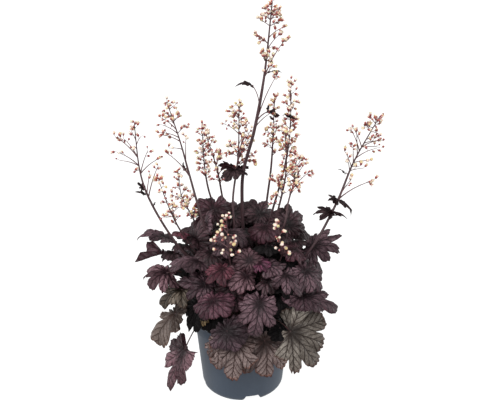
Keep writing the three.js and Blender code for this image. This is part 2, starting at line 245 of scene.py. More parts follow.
def copies(shape: Patch, places: Array, turns: Array, scales: Array, tone: Array) -> Patch:
    """Many copies of a small shape: place + turn * (scale * point).

    Args:
        shape: the shape about its own origin.
        places: where each copy goes, (k, 3).
        turns: a rotation for each, its columns the copy's axes, (k, 3, 3).
        scales: a size for each, (k,).
        tone: a number for each copy, kept as the attribute "tone".

    Returns:
        All the copies as one patch.
    """
    count, size = len(places), len(shape.points)
    points = np.einsum("kij,nj->kni", turns, shape.points) * scales[:, None, None] + places[:, None]
    shift = (np.arange(count) * size)[:, None, None]
    values = {name: np.tile(value, count) for name, value in shape.values.items()}
    values["tone"] = np.repeat(tone, size)
    return Patch(points.reshape(-1, 3), (shape.quads[None] + shift).reshape(-1, 4),
                 (shape.tris[None] + shift).reshape(-1, 3), shape.material, None, values)


def revolve(profile: Array, segments: int, material: int = 0) -> Patch:
    """A profile of [radius, height] turned once about +Z; a radius of 0 at either end becomes a pole.

    Args:
        profile: from the middle of the underside, out, up and back to the middle.
        segments: points round the turn.
        material: which material it wears.

    Returns:
        The closed surface, which faces outwards when the profile runs that way.
    """
    profile = np.asarray(profile, float)
    inner = profile[1:-1]
    turn = np.arange(segments) * 2 * math.pi / segments
    radius, height = inner[:, :1], inner[:, 1:]
    points = np.stack([radius * np.cos(turn), radius * np.sin(turn),
                       np.broadcast_to(height, (len(inner), segments))], -1).reshape(-1, 3)
    poles = np.array([[0, 0, profile[0, 1]], [0, 0, profile[-1, 1]]])
    return Patch(np.concatenate([points, poles]), *closed_faces(len(inner), segments), material)


def make_piece(name: str, patches: Sequence[Patch], materials: Sequence[bpy.types.Material],
               smooth: bool = True) -> bpy.types.Object:
    """One object from several patches, with its place in its mesh.

    Args:
        name: the piece's name.
        patches: what it is made of, in millimetres.
        materials: its material slots.
        smooth: shade it smooth.

    Returns:
        The new object, already in the scene.
    """
    shift = np.cumsum([0] + [len(p.points) for p in patches[:-1]])
    points = np.concatenate([p.points for p in patches]) * MM
    loops, sizes, slots, corners = [], [], [], []
    for patch, start in zip(patches, shift):
        uv = patch.uv
        if uv is None:
            uv = np.zeros((patch.quads.size + patch.tris.size, 2))
        for faces, part in ((patch.quads, uv[:patch.quads.size]), (patch.tris, uv[patch.quads.size:])):
            loops.append((faces + start).ravel())
            sizes.append(np.full(len(faces), faces.shape[1]))
            slots.append(np.full(len(faces), patch.material))
            corners.append(part)
    loops, sizes = np.concatenate(loops), np.concatenate(sizes)
    mesh = bpy.data.meshes.new(name)
    mesh.vertices.add(len(points))
    mesh.vertices.foreach_set("co", points.astype(np.float32).ravel())
    mesh.loops.add(len(loops))
    mesh.loops.foreach_set("vertex_index", loops.astype(np.int32))
    mesh.polygons.add(len(sizes))
    mesh.polygons.foreach_set("loop_start", (np.cumsum(sizes) - sizes).astype(np.int32))
    mesh.polygons.foreach_set("material_index", np.concatenate(slots).astype(np.int32))
    mesh.polygons.foreach_set("use_smooth", np.full(len(sizes), smooth))
    layer = mesh.uv_layers.new(name="veins")
    layer.data.foreach_set("uv", np.concatenate(corners).astype(np.float32).ravel())
    for key in sorted({k for p in patches for k in p.values}):
        column = np.concatenate([p.values.get(key, np.zeros(len(p.points))) for p in patches])
        attribute = mesh.attributes.new(key, "FLOAT", "POINT")
        attribute.data.foreach_set("value", column.astype(np.float32))
    for material in materials:
        mesh.materials.append(material)
    mesh.update(calc_edges=True)
    mesh.validate()
    piece = bpy.data.objects.new(name, mesh)
    bpy.context.scene.collection.objects.link(piece)
    return piece


def enter(piece: bpy.types.Object, slot: str, *nodes: str) -> None:
    """Ties a finished piece to the frame.

    Args:
        piece: the piece, which rides on the one body.
        slot: not used.
        nodes: the nodes it stands for.
    """
    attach(piece, BODY)
    if nodes:
        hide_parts(*nodes)
    LOG.info("%s: %d faces", piece.name, len(piece.data.polygons))


# ---------------- materials
def linear(hexa: str) -> tuple[float, float, float, float]:
    """An sRGB hex colour as linear light: ((c+0.055)/1.055)^2.4 above 0.04045, c/12.92 below."""
    channels = [int(hexa[i:i + 2], 16) / 255 for i in (1, 3, 5)]
    return (*[c / 12.92 if c <= 0.04045 else ((c + 0.055) / 1.055) ** 2.4 for c in channels], 1.0)


def add(tree: bpy.types.NodeTree, kind: str, settings: dict[str, Any] | None = None,
        inputs: dict[str | int, Any] | None = None) -> bpy.types.Node:
    """Adds a node.

    Args:
        tree: the material's or the world's tree.
        kind: the node's Blender type.
        settings: its own properties.
        inputs: for each input, by name or number, a value, a hex colour, or an output or level to link.

    Returns:
        The node.
    """
    node = tree.nodes.new(kind)
    for key, value in (settings or {}).items():
        setattr(node, key, value)
    for key, value in (inputs or {}).items():
        value = value.socket if isinstance(value, Level) else value
        if isinstance(value, bpy.types.NodeSocket):
            tree.links.new(value, node.inputs[key])
        else:
            node.inputs[key].default_value = linear(value) if isinstance(value, str) else value
    return node


class Level:
    """A number that varies over a surface; arithmetic on it adds Math nodes to its material."""

    SMOOTH = {"interpolation_type": "SMOOTHSTEP"}

    def __init__(self, tree: bpy.types.NodeTree, socket: bpy.types.NodeSocket) -> None:
        """Wraps a node's output."""
        self.tree, self.socket = tree, socket

    def through(self, operation: str, one: Any = None, two: Any = 0.0) -> "Level":
        """A new level from one Math node.

        Args:
            operation: the node's operation.
            one: its first number, this level if none is given.
            two: its second number.

        Returns:
            The result.
        """
        one = self if one is None else one
        node = add(self.tree, "ShaderNodeMath", {"operation": operation}, {0: one, 1: two})
        return Level(self.tree, node.outputs[0])

    def __add__(self, other: Any) -> "Level":
        """The sum."""
        return self.through("ADD", two=other)

    def __sub__(self, other: Any) -> "Level":
        """The difference."""
        return self.through("SUBTRACT", two=other)

    def __rsub__(self, other: Any) -> "Level":
        """The difference, the other way round."""
        return self.through("SUBTRACT", other, self)

    def __mul__(self, other: Any) -> "Level":
        """The product."""
        return self.through("MULTIPLY", two=other)

    def __truediv__(self, other: Any) -> "Level":
        """The quotient."""
        return self.through("DIVIDE", two=other)

    def most(self, other: Any) -> "Level":
        """The larger of the two."""
        return self.through("MAXIMUM", two=other)

    def step(self, low: float, high: float, to_low: float = 0.0, to_high: float = 1.0) -> "Level":
        """A smooth step from to_low to to_high, as this level goes from low to high."""
        ends = {0: self, 1: low, 2: high, 3: to_low, 4: to_high}
        return Level(self.tree, add(self.tree, "ShaderNodeMapRange", self.SMOOTH, ends).outputs[0])

    def fade(self, full: float, none: float) -> "Level":
        """A smooth step from 1 at full down to 0 at none."""
        return self.step(full, none, 1.0, 0.0)


class Recipe:
    """A new material and the kinds of node that several finishes share; sizes are in millimetres."""

    def __init__(self, name: str) -> None:
        """Starts an empty material.

        Args:
            name: the material's name.
        """
        self.material = bpy.data.materials.new(name)
        self.material.use_nodes = True
        self.tree = self.material.node_tree
        self.tree.nodes.clear()

    def spot(self, stretch: float = 1.0) -> bpy.types.NodeSocket:
        """The place on the object.

        Args:
            stretch: the share that height counts for; a low one draws a pattern out upwards.

        Returns:
            The output.
        """
        spot = add(self.tree, "ShaderNodeTexCoord").outputs["Object"]
        if stretch == 1.0:
            return spot
        scaled = {"Vector": spot, "Scale": (1.0, 1.0, stretch)}
        return add(self.tree, "ShaderNodeMapping", None, scaled).outputs[0]

    def level(self, socket: bpy.types.NodeSocket) -> Level:
        """An output as a level."""
        return Level(self.tree, socket)

    def attribute(self, name: str) -> Level:
        """One of the mesh's own numbers."""
        return self.level(add(self.tree, "ShaderNodeAttribute", {"attribute_name": name}).outputs["Fac"])

    def noise(self, spot: bpy.types.NodeSocket, size: float, detail: float) -> Level:
        """Noise whose lumps are about size wide."""
        return self.level(add(self.tree, "ShaderNodeTexNoise", None, {
            "Vector": spot, "Scale": 1 / (size * MM), "Detail": detail}).outputs[0])

    def cells(self, spot: bpy.types.NodeSocket, size: float, feature: str) -> bpy.types.Node:
        """A Voronoi pattern of cells about size wide."""
        return add(self.tree, "ShaderNodeTexVoronoi", {"feature": feature},
                   {"Vector": spot, "Scale": 1 / (size * MM)})

    def blend(self, share: Any, one: Any, two: Any) -> bpy.types.NodeSocket:
        """The colour between one and two, by share."""
        return add(self.tree, "ShaderNodeMix", {"data_type": "RGBA"}, {0: share, 6: one, 7: two}).outputs[2]

    def lit(self, colour: Any, by: Level) -> bpy.types.NodeSocket:
        """The colour made darker or lighter."""
        return add(self.tree, "ShaderNodeVectorMath", {"operation": "SCALE"}, {0: colour, 3: by}).outputs[0]

    def bump(self, height: Level, strength: float, depth: float) -> bpy.types.NodeSocket:
        """The surface's normal, raised by height."""
        return add(self.tree, "ShaderNodeBump", None, {
            "Strength": strength, "Distance": depth * MM, "Height": height}).outputs[0]

    def finish(self, inputs: dict[str, Any]) -> bpy.types.Material:
        """Ends the material with a Principled shader.

        Args:
            inputs: the shader's inputs, by name.

        Returns:
            The material.
        """
        shader = add(self.tree, "ShaderNodeBsdfPrincipled", None, inputs)
        add(self.tree, "ShaderNodeOutputMaterial", None, {0: shader.outputs[0]})
        return self.material


@dataclass(frozen=True)
class LeafSkin:
    """Living leaf: thin, waxy and softly glossy, puckered between sunken veins.

    Attributes:
        name: the colour's plain name.
        flesh: along the veins, where the silver bloom is missing.
        silver: between the veins.
        vein: the veins themselves.
        rim: the last few millimetres.
        under: the underside.
        bloom: how much of the blade the silver covers, 0 to 1.
        roughness: how matt the wax is.
        shine: how strongly the wax mirrors.
        hub: share of the reach where the dark middle, partly the leaf's own colour and partly painted shade,
            has faded out.
    """

    name: str
    flesh: str
    silver: str
    vein: str
    rim: str
    under: str
    bloom: float = 0.8
    roughness: float = 0.46
    shine: float = 0.24
    hub: float = 0.5

    VEIN_SPACING = 1.2  # centimetres between side veins, along a main vein
    SIDE_SLANT = 1.45  # how far a side vein runs outwards for each step across
    STAGGER = 0.24  # share of a spacing by which one side's veins lead the other's
    SQUARE = 0.57  # a side vein's own gap, for each step along the main vein
    MAIN_LINE = (0.04, 0.11)  # centimetres from a vein's middle where it is full, and where it is gone
    SIDE_LINE = (0.025, 0.085)
    NET_LINE = (0.02, 0.1)
    MAIN_HALO = (0.02, 0.14)  # the bare flesh beside a vein
    SIDE_HALO = (0.01, 0.12)
    VEINED_FROM = (0.14, 0.34)  # share of the reach where side veins begin
    CELL = 5.2  # millimetres across one cell of the finest net
    WANDER = 12.0  # millimetres
    PATCH = 21.0
    GRAIN = 1.1
    RELIEF = 1.3

    def material(self) -> bpy.types.Material:
        """Colour follows the distance to the nearest vein; the same distances give the sunken relief.

        The UV map is (across, along) the nearest main vein in centimetres. Side veins are the lines
        where (along - slant*|across|)/spacing is a whole number, staggered from one side to the other.

        Returns:
            The material.
        """
        recipe = Recipe("heuchera leaf, " + self.name)
        spot = recipe.spot()
        uv = add(recipe.tree, "ShaderNodeUVMap", {"uv_map": "veins"}).outputs[0]
        split = add(recipe.tree, "ShaderNodeSeparateXYZ", None, {0: uv})
        reach, tone, under = (recipe.attribute(name) for name in ("reach", "tone", "under"))
        # a little wander, so that no vein is ruled
        wobble = (recipe.noise(spot, self.WANDER, 2.0) - 0.5) * 0.4
        across = recipe.level(split.outputs[0]) + wobble * 0.1
        along = recipe.level(split.outputs[1]) + wobble
        off = across.through("ABSOLUTE")
        taper = reach.step(0.0, 1.0, 1.0, 0.38)
        main = (off / taper).fade(*self.MAIN_LINE)
        order = (along - off * self.SIDE_SLANT) / self.VEIN_SPACING
        ahead = across.through("SIGN") * self.STAGGER + 20.0
        place = (order + ahead).through("FRACT")
        gap = (place - 0.5).through("ABSOLUTE") * (self.VEIN_SPACING * self.SQUARE)
        grown = reach.step(*self.VEINED_FROM)
        net = recipe.level(recipe.cells(spot, self.CELL, "DISTANCE_TO_EDGE").outputs["Distance"])
        side = gap.fade(*self.SIDE_LINE) * grown
        line = main.most((side * 0.95).most(net.fade(*self.NET_LINE) * 0.6))
        halo = off.fade(*self.MAIN_HALO).most(gap.fade(*self.SIDE_HALO) * grown * 0.9)
        # the bloom thins in soft patches
        patchy = (recipe.noise(spot, self.PATCH, 3.0) + tone * 0.24).step(0.33, 0.66, 0.45, 1.0)
        cover = (1.0 - halo) * patchy * self.bloom
        # the dark middle round the stalk: partly the leaf's own darker centre where the main veins meet,
        # partly painted shade over the hollow there
        heart = reach.step(0.06, self.hub)
        colour = recipe.blend(cover * heart, self.flesh, self.silver)
        colour = recipe.blend(heart, self.vein, colour)
        colour = recipe.blend(reach.step(0.9, 1.0) * 0.75, colour, self.rim)
        colour = recipe.blend(line * 0.8, colour, self.vein)
        below = recipe.blend(line * 0.5, self.under, self.silver)
        colour = recipe.blend(under, colour, below)
        grain = recipe.noise(spot, self.GRAIN, 2.0)
        # painted light and shade: each lobe's tone makes it lighter or darker, standing for how the lobes
        # catch the light; the fine grain is the leaf's own mottling
        shade = grain.step(0.25, 0.75, 0.92, 1.08) * tone.step(-1.0, 1.0, 0.72, 1.24)
        pillow, quilt = net.step(0.0, 0.45), gap.step(0.0, 0.3) * grown
        height = pillow * 0.35 + (quilt * 0.9 - main * 0.8) + grain * 0.12
        return recipe.finish({
            "Base Color": recipe.lit(colour, shade), "Normal": recipe.bump(height, 0.85, self.RELIEF),
            "Roughness": grain.step(0.3, 0.7, self.roughness - 0.06, self.roughness + 0.08),
            "IOR": 1.45, "Specular IOR Level": self.shine})


class Leafage(Enum):
    """The leaf colours of one plant, from its dark young leaves to its pewter old ones; the near-black skin
    is painted shade, and the shaded plum carries painted shade over most of its blade.
    """

    DARK = LeafSkin("dark plum", "#2b1b1e", "#4d383d", "#170f11", "#2e1d21", "#4c2a33", 0.75)
    PLUM = LeafSkin("plum", "#35242a", "#664f56", "#1d1216", "#3a2329", "#58303b", 0.85)
    ROSE = LeafSkin("rose plum", "#3a222a", "#66444f", "#26141a", "#45222b", "#653743", 0.85)
    WINE = LeafSkin("wine", "#3c1d26", "#663a44", "#260f15", "#4a1c27", "#682e3b", 0.8)
    DUSK = LeafSkin("dusky wine", "#331a20", "#523840", "#1d0d11", "#3c1921", "#58303a", 0.7)
    MAGENTA = LeafSkin("magenta", "#402030", "#693c50", "#251019", "#481f31", "#69304a", 0.8)
    PEWTER = LeafSkin("pewter", "#443a34", "#938b82", "#211814", "#56372f", "#654742", 0.92)
    PINK = LeafSkin("pink pewter", "#44302d", "#7c6d6a", "#291b19", "#70402e", "#75504a", 0.95)
    OLIVE = LeafSkin("olive brown", "#382f28", "#73685d", "#1d1610", "#40271e", "#58392f", 0.85)
    BEIGE = LeafSkin("beige", "#3c322c", "#685d58", "#33241f", "#60463c", "#785c50", 0.9)
    # painted shade: a near-black skin for leaves deep in the mound, standing in for the shade there
    BLACK = LeafSkin("painted shade black", "#121011", "#211d1e", "#0a0809", "#151011", "#2a1a1d", 0.6, 0.6, 0.1)
    UMBER = LeafSkin("stem leaf umber", "#2b1f21", "#47373a", "#160f10", "#2a1c1d", "#45282c", 0.6, 0.6,
                     0.12)
    MAUVE = LeafSkin("mauve", "#40282d", "#7a5d64", "#24151a", "#4a2a31", "#653743", 0.88)
    # painted shade: a darker copy of plum whose dark middle spreads almost to the margin, for a blade whose
    # middle lies in shadow
    SHADED = LeafSkin("shaded plum", "#2d1f25", "#5a464d", "#1b1115", "#3a2329", "#58303b", 0.85, hub=0.9)
    TAN = LeafSkin("withered tan", "#483a28", "#6e5f45", "#3e2d1c", "#6a4e2e", "#7c6440", 0.9, 0.7)


@dataclass(frozen=True)
class StemSkin:
    """Living stem: dark red, firm and fine-haired, a little greener and duller towards its foot."""

    name: str
    young: str
    old: str
    roughness: float = 0.5

    def material(self) -> bpy.types.Material:
        """Colour from old to young along the stem's own "reach", with fine lengthways streaks.

        Returns:
            The material.
        """
        recipe = Recipe("heuchera stem, " + self.name)
        streak = recipe.noise(recipe.spot(0.12), 1.2, 3.0)
        base = recipe.blend(recipe.attribute("reach"), self.old, self.young)
        return recipe.finish({
            "Base Color": recipe.lit(base, streak.step(0.3, 0.72, 0.72, 1.3)), "Roughness": self.roughness,
            "Normal": recipe.bump(streak, 0.5, 0.2), "IOR": 1.45, "Specular IOR Level": 0.4})


@dataclass(frozen=True)
class FloretSkin:
    """Small flower: a dark red waxy cup that pales through pink to cream petals."""

    cup: str = "#833c42"
    rust: str = "#9a5038"
    cheek: str = "#c98a86"
    petal: str = "#f2e2d4"
    heart: str = "#d8c48e"

    def material(self) -> bpy.types.Material:
        """Colour runs from cup to petal along the floret's own "reach"; "tone" varies it.

        Returns:
            The material.
        """
        recipe = Recipe("heuchera floret, red cup and cream petals")
        reach, tone = recipe.attribute("reach"), recipe.attribute("tone")
        cup = recipe.blend(tone, self.cup, self.rust)
        petal = recipe.blend(tone, self.petal, self.heart)
        low = recipe.blend(reach.step(0.24, 0.5), cup, self.cheek)
        return recipe.finish({
            "Base Color": recipe.blend(reach.step(0.46, 0.66), low, petal), "Roughness": 0.45, "IOR": 1.4,
            "Specular IOR Level": 0.4, "Subsurface Weight": 0.15, "Subsurface Scale": 1.0 * MM})


@dataclass(frozen=True)
class PotPlastic:
    """Injection-moulded polypropylene in slate blue-grey: satin, finely grained and faintly dusty."""

    colour: str = "#323e4d"
    worn: str = "#455162"
    dust: str = "#c4ccd6"
    roughness: float = 0.34

    SCUFF = 6.0  # millimetres across a scuff, which is drawn out upwards
    DRIFT = 45.0
    GRAIN = 0.5

    def material(self) -> bpy.types.Material:
        """Slow drifts of colour, long upright scuffs and a fine grain.

        Returns:
            The material.
        """
        recipe = Recipe("moulded polypropylene, slate")
        spot = recipe.spot()
        scuff = recipe.noise(recipe.spot(0.06), self.SCUFF, 3.0)
        drift = recipe.noise(spot, self.DRIFT, 3.0)
        worn = scuff.step(0.52, 0.78) * 0.16 + drift.step(0.4, 0.7) * 0.16
        height = recipe.noise(spot, self.GRAIN, 1.0) * 0.35 + scuff
        return recipe.finish({
            "Base Color": recipe.blend(worn, self.colour, self.worn),
            "Roughness": scuff * 0.16 + self.roughness, "Normal": recipe.bump(height, 0.18, 0.2), "IOR": 1.49,
            "Specular IOR Level": 1.0, "Sheen Weight": 0.3, "Sheen Roughness": 0.4, "Sheen Tint": self.dust})


@dataclass(frozen=True)
class Mould:
    """Moist potting mix or old rootstock: crumbs of peat, bark and fibre, matt and uneven."""

    name: str
    dark: str
    light: str
    crumb: float

    def material(self) -> bpy.types.Material:
        """Crumbs of two sizes, each with its own shade.

        Returns:
            The material.
        """
        recipe = Recipe(self.name)
        spot = recipe.spot()
        crumb = recipe.cells(spot, self.crumb, "F1")
        fine = recipe.noise(spot, self.crumb * 0.4, 6.0)
        pick = add(recipe.tree, "ShaderNodeSeparateXYZ", None, {0: crumb.outputs["Color"]}).outputs[0]
        share = recipe.level(pick) * fine.step(0.3, 0.75)
        height = fine - crumb.outputs["Distance"]
        return recipe.finish({
            "Base Color": recipe.blend(share, self.dark, self.light), "Roughness": 0.92,
            "Normal": recipe.bump(height, 0.9, self.crumb * 0.5), "Specular IOR Level": 0.25})


class Finishes:
    """Every material of the plant and its pot, each made once."""

    def __init__(self) -> None:
        """Makes them."""
        self.leaf = {kind: kind.value.material() for kind in Leafage}
        self.stalk = StemSkin("leaf stalk", "#3f2629", "#3c2e26").material()
        self.stem = StemSkin("flower stem", "#6a4c4e", "#332226").material()
        self.floret = FloretSkin().material()
        self.pot = PotPlastic().material()
        self.soil = Mould("moist potting mix", "#1c1511", "#4a382a", 2.6).material()
        self.crown = Mould("old rootstock", "#2c201a", "#5c4636", 3.4).material()


# ---------------- leaves
@dataclass(frozen=True)
class Outline:
    """A palmate blade's outline: lobe tips round the stalk, with notches between them.

    Attributes:
        tips: [angle from the midrib, reach] of one side's lobes, the midrib's own first.
        notches: how far the blade still reaches between two tips.
        heel: reach of the round lobe beside the gap behind the stalk.
        bluntness: higher is rounder.
        teeth: rounded teeth on a lobe, odd.
        bite: how deep the teeth are, as a share of the reach.
    """

    tips: tuple[tuple[float, float], ...]
    notches: tuple[float, ...]
    heel: float
    bluntness: float = 2.2
    teeth: int = 5
    bite: float = 0.085

    HEEL_ANGLE = 155.0
    SINUS = 0.1  # reach at the very back, behind the stalk

    def lobes(self) -> tuple[Array, Array, Array]:
        """Both sides' tips in order round the stalk.

        Returns:
            Their angles, their reaches, and the reach between one and the next and at both ends.
        """
        side = list(self.tips[1:]) + [(self.HEEL_ANGLE, self.heel)]
        angles = [-a for a, _ in reversed(side)] + [0.0] + [a for a, _ in side]
        reaches = [r for _, r in reversed(side)] + [self.tips[0][1]] + [r for _, r in side]
        low = list(self.notches) + [0.86 * self.heel]
        between = [self.SINUS] + list(reversed(low)) + low + [self.SINUS]
        return np.array(angles), np.array(reaches), np.array(between)


class Form(Enum):
    """The leaf shapes on the plant."""

    BROAD = Outline(((0, 1.0), (38, 0.97), (78, 0.9), (118, 0.8)), (0.7, 0.66, 0.58), 0.62, 3.0, 5, 0.065)
    LONG = Outline(((0, 1.04), (37, 0.9), (76, 0.78), (117, 0.66)), (0.52, 0.5, 0.44), 0.5, 2.4, 5, 0.07)
    SLIM = Outline(((0, 1.05), (30, 0.8), (70, 0.56), (115, 0.42)), (0.48, 0.4, 0.34), 0.32, 2.0, 5, 0.07)
    BLADE = Outline(((0, 1.04), (26, 0.6), (66, 0.34), (112, 0.24)), (0.42, 0.28, 0.2), 0.18, 1.7, 5, 0.06)
    FOLDED = Outline(((0, 1.06), (46, 0.58), (84, 0.14), (125, 0.1)), (0.55, 0.34, 0.1), 0.08, 0.25, 3,
                     0.02)
    BRACT = Outline(((0, 1.0), (40, 0.84), (84, 0.62), (125, 0.4)), (0.32, 0.28, 0.22), 0.22, 1.2, 3, 0.14)


@dataclass
class BladeGrid:
    """A blade's polar grid about the stalk, still flat.

    Attributes:
        angles: the main veins' angles.
        edges: the angles between one lobe and the next.
        theta: each column's angle.
        lobe: which lobe each column is in.
        w: where each column is in its lobe, -1 to 1.
        outline: how far each column reaches.
        out: each point's share of that reach, (rows, columns).
        r: each point's distance from the stalk, (rows, columns).
    """

    angles: Array
    edges: Array
    theta: Array
    lobe: Array
    w: Array
    outline: Array
    out: Array
    r: Array

    def flat(self) -> tuple[Array, Array]:
        """Each point's distance across the midrib, and along it."""
        a = np.radians(self.theta)
        return -self.r * np.sin(a), self.r * np.cos(a)

    def vein_map(self) -> Array:
        """The UV map: (across, along) the nearest main vein in centimetres, each column in one lobe.

        Returns:
            A pair for each face corner: the bands' between the rows, then the two fans'.
        """
        columns = len(self.theta)
        mid = self.theta + 180 / columns
        owner = np.searchsorted(self.edges, np.where(mid > 180, mid - 360, mid)) - 1
        owner = np.clip(owner, 0, len(self.angles) - 1)
        j = np.arange(columns)[:, None] + np.array([[0, 1, 1, 0]])
        from_vein = np.radians(self.theta[0] + j * 360 / columns - self.angles[owner][:, None])
        row = np.arange(2 * len(self.r) - 1)[:, None, None] + np.array([0, 0, 1, 1])
        radius = np.concatenate([self.r, self.r[::-1]])[row, j[None] % columns]
        bands = np.stack([radius * np.sin(from_vein), radius * np.cos(from_vein)], -1)
        pair = np.stack([self.r[0], np.roll(self.r[0], -1)], -1)
        ends = np.stack([pair * np.sin(from_vein[:, :2]), pair * np.cos(from_vein[:, :2])], -1)
        fan = np.concatenate([np.zeros((columns, 1, 2)), ends], axis=1)
        return np.concatenate([part.reshape(-1, 2) for part in (bands, fan[:, ::-1], fan)]) / 10


@dataclass(frozen=True)
class Leaf:
    """One blade and where it stands.

    Attributes:
        at: where the stalk meets the blade.
        heading: azimuth that the midrib points to.
        pitch: the midrib's angle above level, where it leaves the stalk.
        length: from the stalk to the middle tip.
        skin: its colour.
        form: its outline.
        ring: how far from the pot's axis the stalk starts.
        spin: turns the stalk's start round the crown.
        arch: lifts the stalk's bend.
        droop: how far the blade bends down over its length.
        cup: how far the sides bend down.
        ruffle: height of the waves along the margin, in millimetres.
        lobes: a share for each lobe's reach, from the right heel round past the midrib to the left one.
        seed: varies what isn't given.
        fold: lifts both sides for each millimetre away from the midrib.
        bends: how sharply each lobe bends down, in the order of lobes.
        crumple: scales the broad unevenness of the blade.
        turns: degrees that each lobe is turned by, in the order of lobes.
        slit: scales the reach between the lobes.
        tilt: turns the upper face upwards, about the midrib.
    """

    at: tuple[float, float, float]
    heading: float
    pitch: float
    length: float
    skin: Leafage = Leafage.PLUM
    form: Form = Form.BROAD
    ring: float = 30.0
    spin: float = 0.0
    arch: float = 0.0
    droop: float = 46.0
    cup: float = -0.26
    ruffle: float = 1.7
    lobes: tuple[float, ...] = ()
    seed: int = 0
    fold: float = 0.0
    bends: tuple[float, ...] = ()
    crumple: float = 1.0
    turns: tuple[float, ...] = ()
    slit: float = 1.0
    tilt: float = 0.0

    THICKNESS = 0.55  # millimetres at the stalk; the margin has half of it
    HUB_HALF = 0.27  # half the thickness right over the stalk
    PLEAT = 0.06  # rise from a main vein to halfway between two, for each millimetre out
    PLEATED = 0.5  # share of the length where the pleats have turned into swollen halves
    SWELL = 0.022  # rise of a swollen half, for each millimetre of length
    CUSHION = 1.0  # rise of the cushion between two side veins
    EDGE_FALL = 0.1  # fall of a lobe's edges at the margin, for each millimetre of length
    BEND_FROM = 0.36  # share of the length where the lobes start to bend down
    UNEVEN = 2.1  # height of the broad unevenness
    DIMPLE = 1.6  # depth of the hollow over the stalk
    DIMPLE_WIDTH = 6.0
    REACH_VARIES = (-0.12, 0.08)
    SLIT_VARIES = (-0.28, 0.18)
    TURN_VARIES = 7  # degrees either way
    BENDS_VARY = (-0.1, 0.75)
    TWIST = 0.4
    LEAST_RINGS = 7
    LEAST_COLUMNS = 72
    OVER_LOWEST = 205.0  # the stalk's bend is at least this high
    OVER_LEVEL = 145.0  # and for a high leaf a quarter of the way down to this level
    RIB_SPACING = 10 * LeafSkin.VEIN_SPACING
    RIB_SLANT = LeafSkin.SIDE_SLANT
    TEETH_STEPS = 4  # grid columns for each tooth

    def axes(self) -> tuple[Array, Array, Array]:
        """The blade's three axes: x across, y along the midrib, z out of its upper face.

        z is the outward direction, tilted up with height and made square to y.

        Returns:
            The three unit vectors.
        """
        x0, y0, z0 = self.at
        y = direction(self.heading, self.pitch + self.droop / 2)
        facing = FACING_LOW + FACING_PER_MM * (z0 - HANGING_HEIGHT)
        facing = min(FACING_HIGH, max(FACING_LOW, facing)) + self.tilt
        outward = direction(math.degrees(math.atan2(x0, -y0)), facing)
        z = unit(outward - outward.dot(y) * y)
        return np.cross(y, z), y, z

    def grid(self, rng: np.random.Generator, fineness: float) -> BladeGrid:
        """The blade's outline, and the grid inside it.

        With w running from -1 to 1 over a lobe, the outline is notch + (tip-notch)(1-|w|^b)^(1/2), cut by
        teeth |cos(k pi w/2)|^0.6.

        Args:
            rng: the leaf's own random numbers.
            fineness: scales the number of grid lines.

        Returns:
            The grid.
        """
        form = self.form.value
        angles, reaches, between = form.lobes()
        count, vary = len(angles), self.TURN_VARIES
        reaches = reaches * (1 + rng.uniform(*self.REACH_VARIES, count)) * (self.lobes or 1)
        angles = angles + rng.uniform(-vary, vary, count) * (np.abs(angles) < form.HEEL_ANGLE)
        angles = angles + (self.turns or 0)
        between = between * self.slit * (1 + rng.uniform(*self.SLIT_VARIES, count + 1))
        edges = np.concatenate([[-180], (angles[:-1] + angles[1:]) / 2, [180]])
        steps = form.teeth * count * self.TEETH_STEPS * fineness
        columns = max(self.LEAST_COLUMNS, int(steps * min(1.1, self.length / 46)))
        rings = max(self.LEAST_RINGS, int(20 * fineness * math.sqrt(min(1.2, self.length / 60))))
        theta = -180 + (np.arange(columns) + 0.5) * 360 / columns
        lobe = np.clip(np.searchsorted(edges, theta) - 1, 0, count - 1)
        low_side = theta < angles[lobe]
        half = np.where(low_side, angles[lobe] - edges[lobe], edges[lobe + 1] - angles[lobe])
        w = np.clip((theta - angles[lobe]) / half, -1, 1)
        notch = np.where(low_side, between[lobe], between[lobe + 1])
        notch = np.minimum(notch, reaches[lobe] * 0.97)
        crown = (1 - np.abs(w) ** form.bluntness) ** 0.5
        teeth = np.abs(np.cos(form.teeth * math.pi * w / 2)) ** 0.6
        bite = form.bite * (1 + 0.35 * np.sin(5 * np.radians(theta) + 2.1 * self.seed))
        outline = (notch + (reaches[lobe] - notch) * crown) * (1 + bite * (teeth - 0.78)) * self.length
        out = np.broadcast_to((np.linspace(0, 1, rings + 1)[1:] ** 0.88)[:, None], (rings, columns))
        return BladeGrid(angles, edges, theta, lobe, w, outline, out, out * outline)

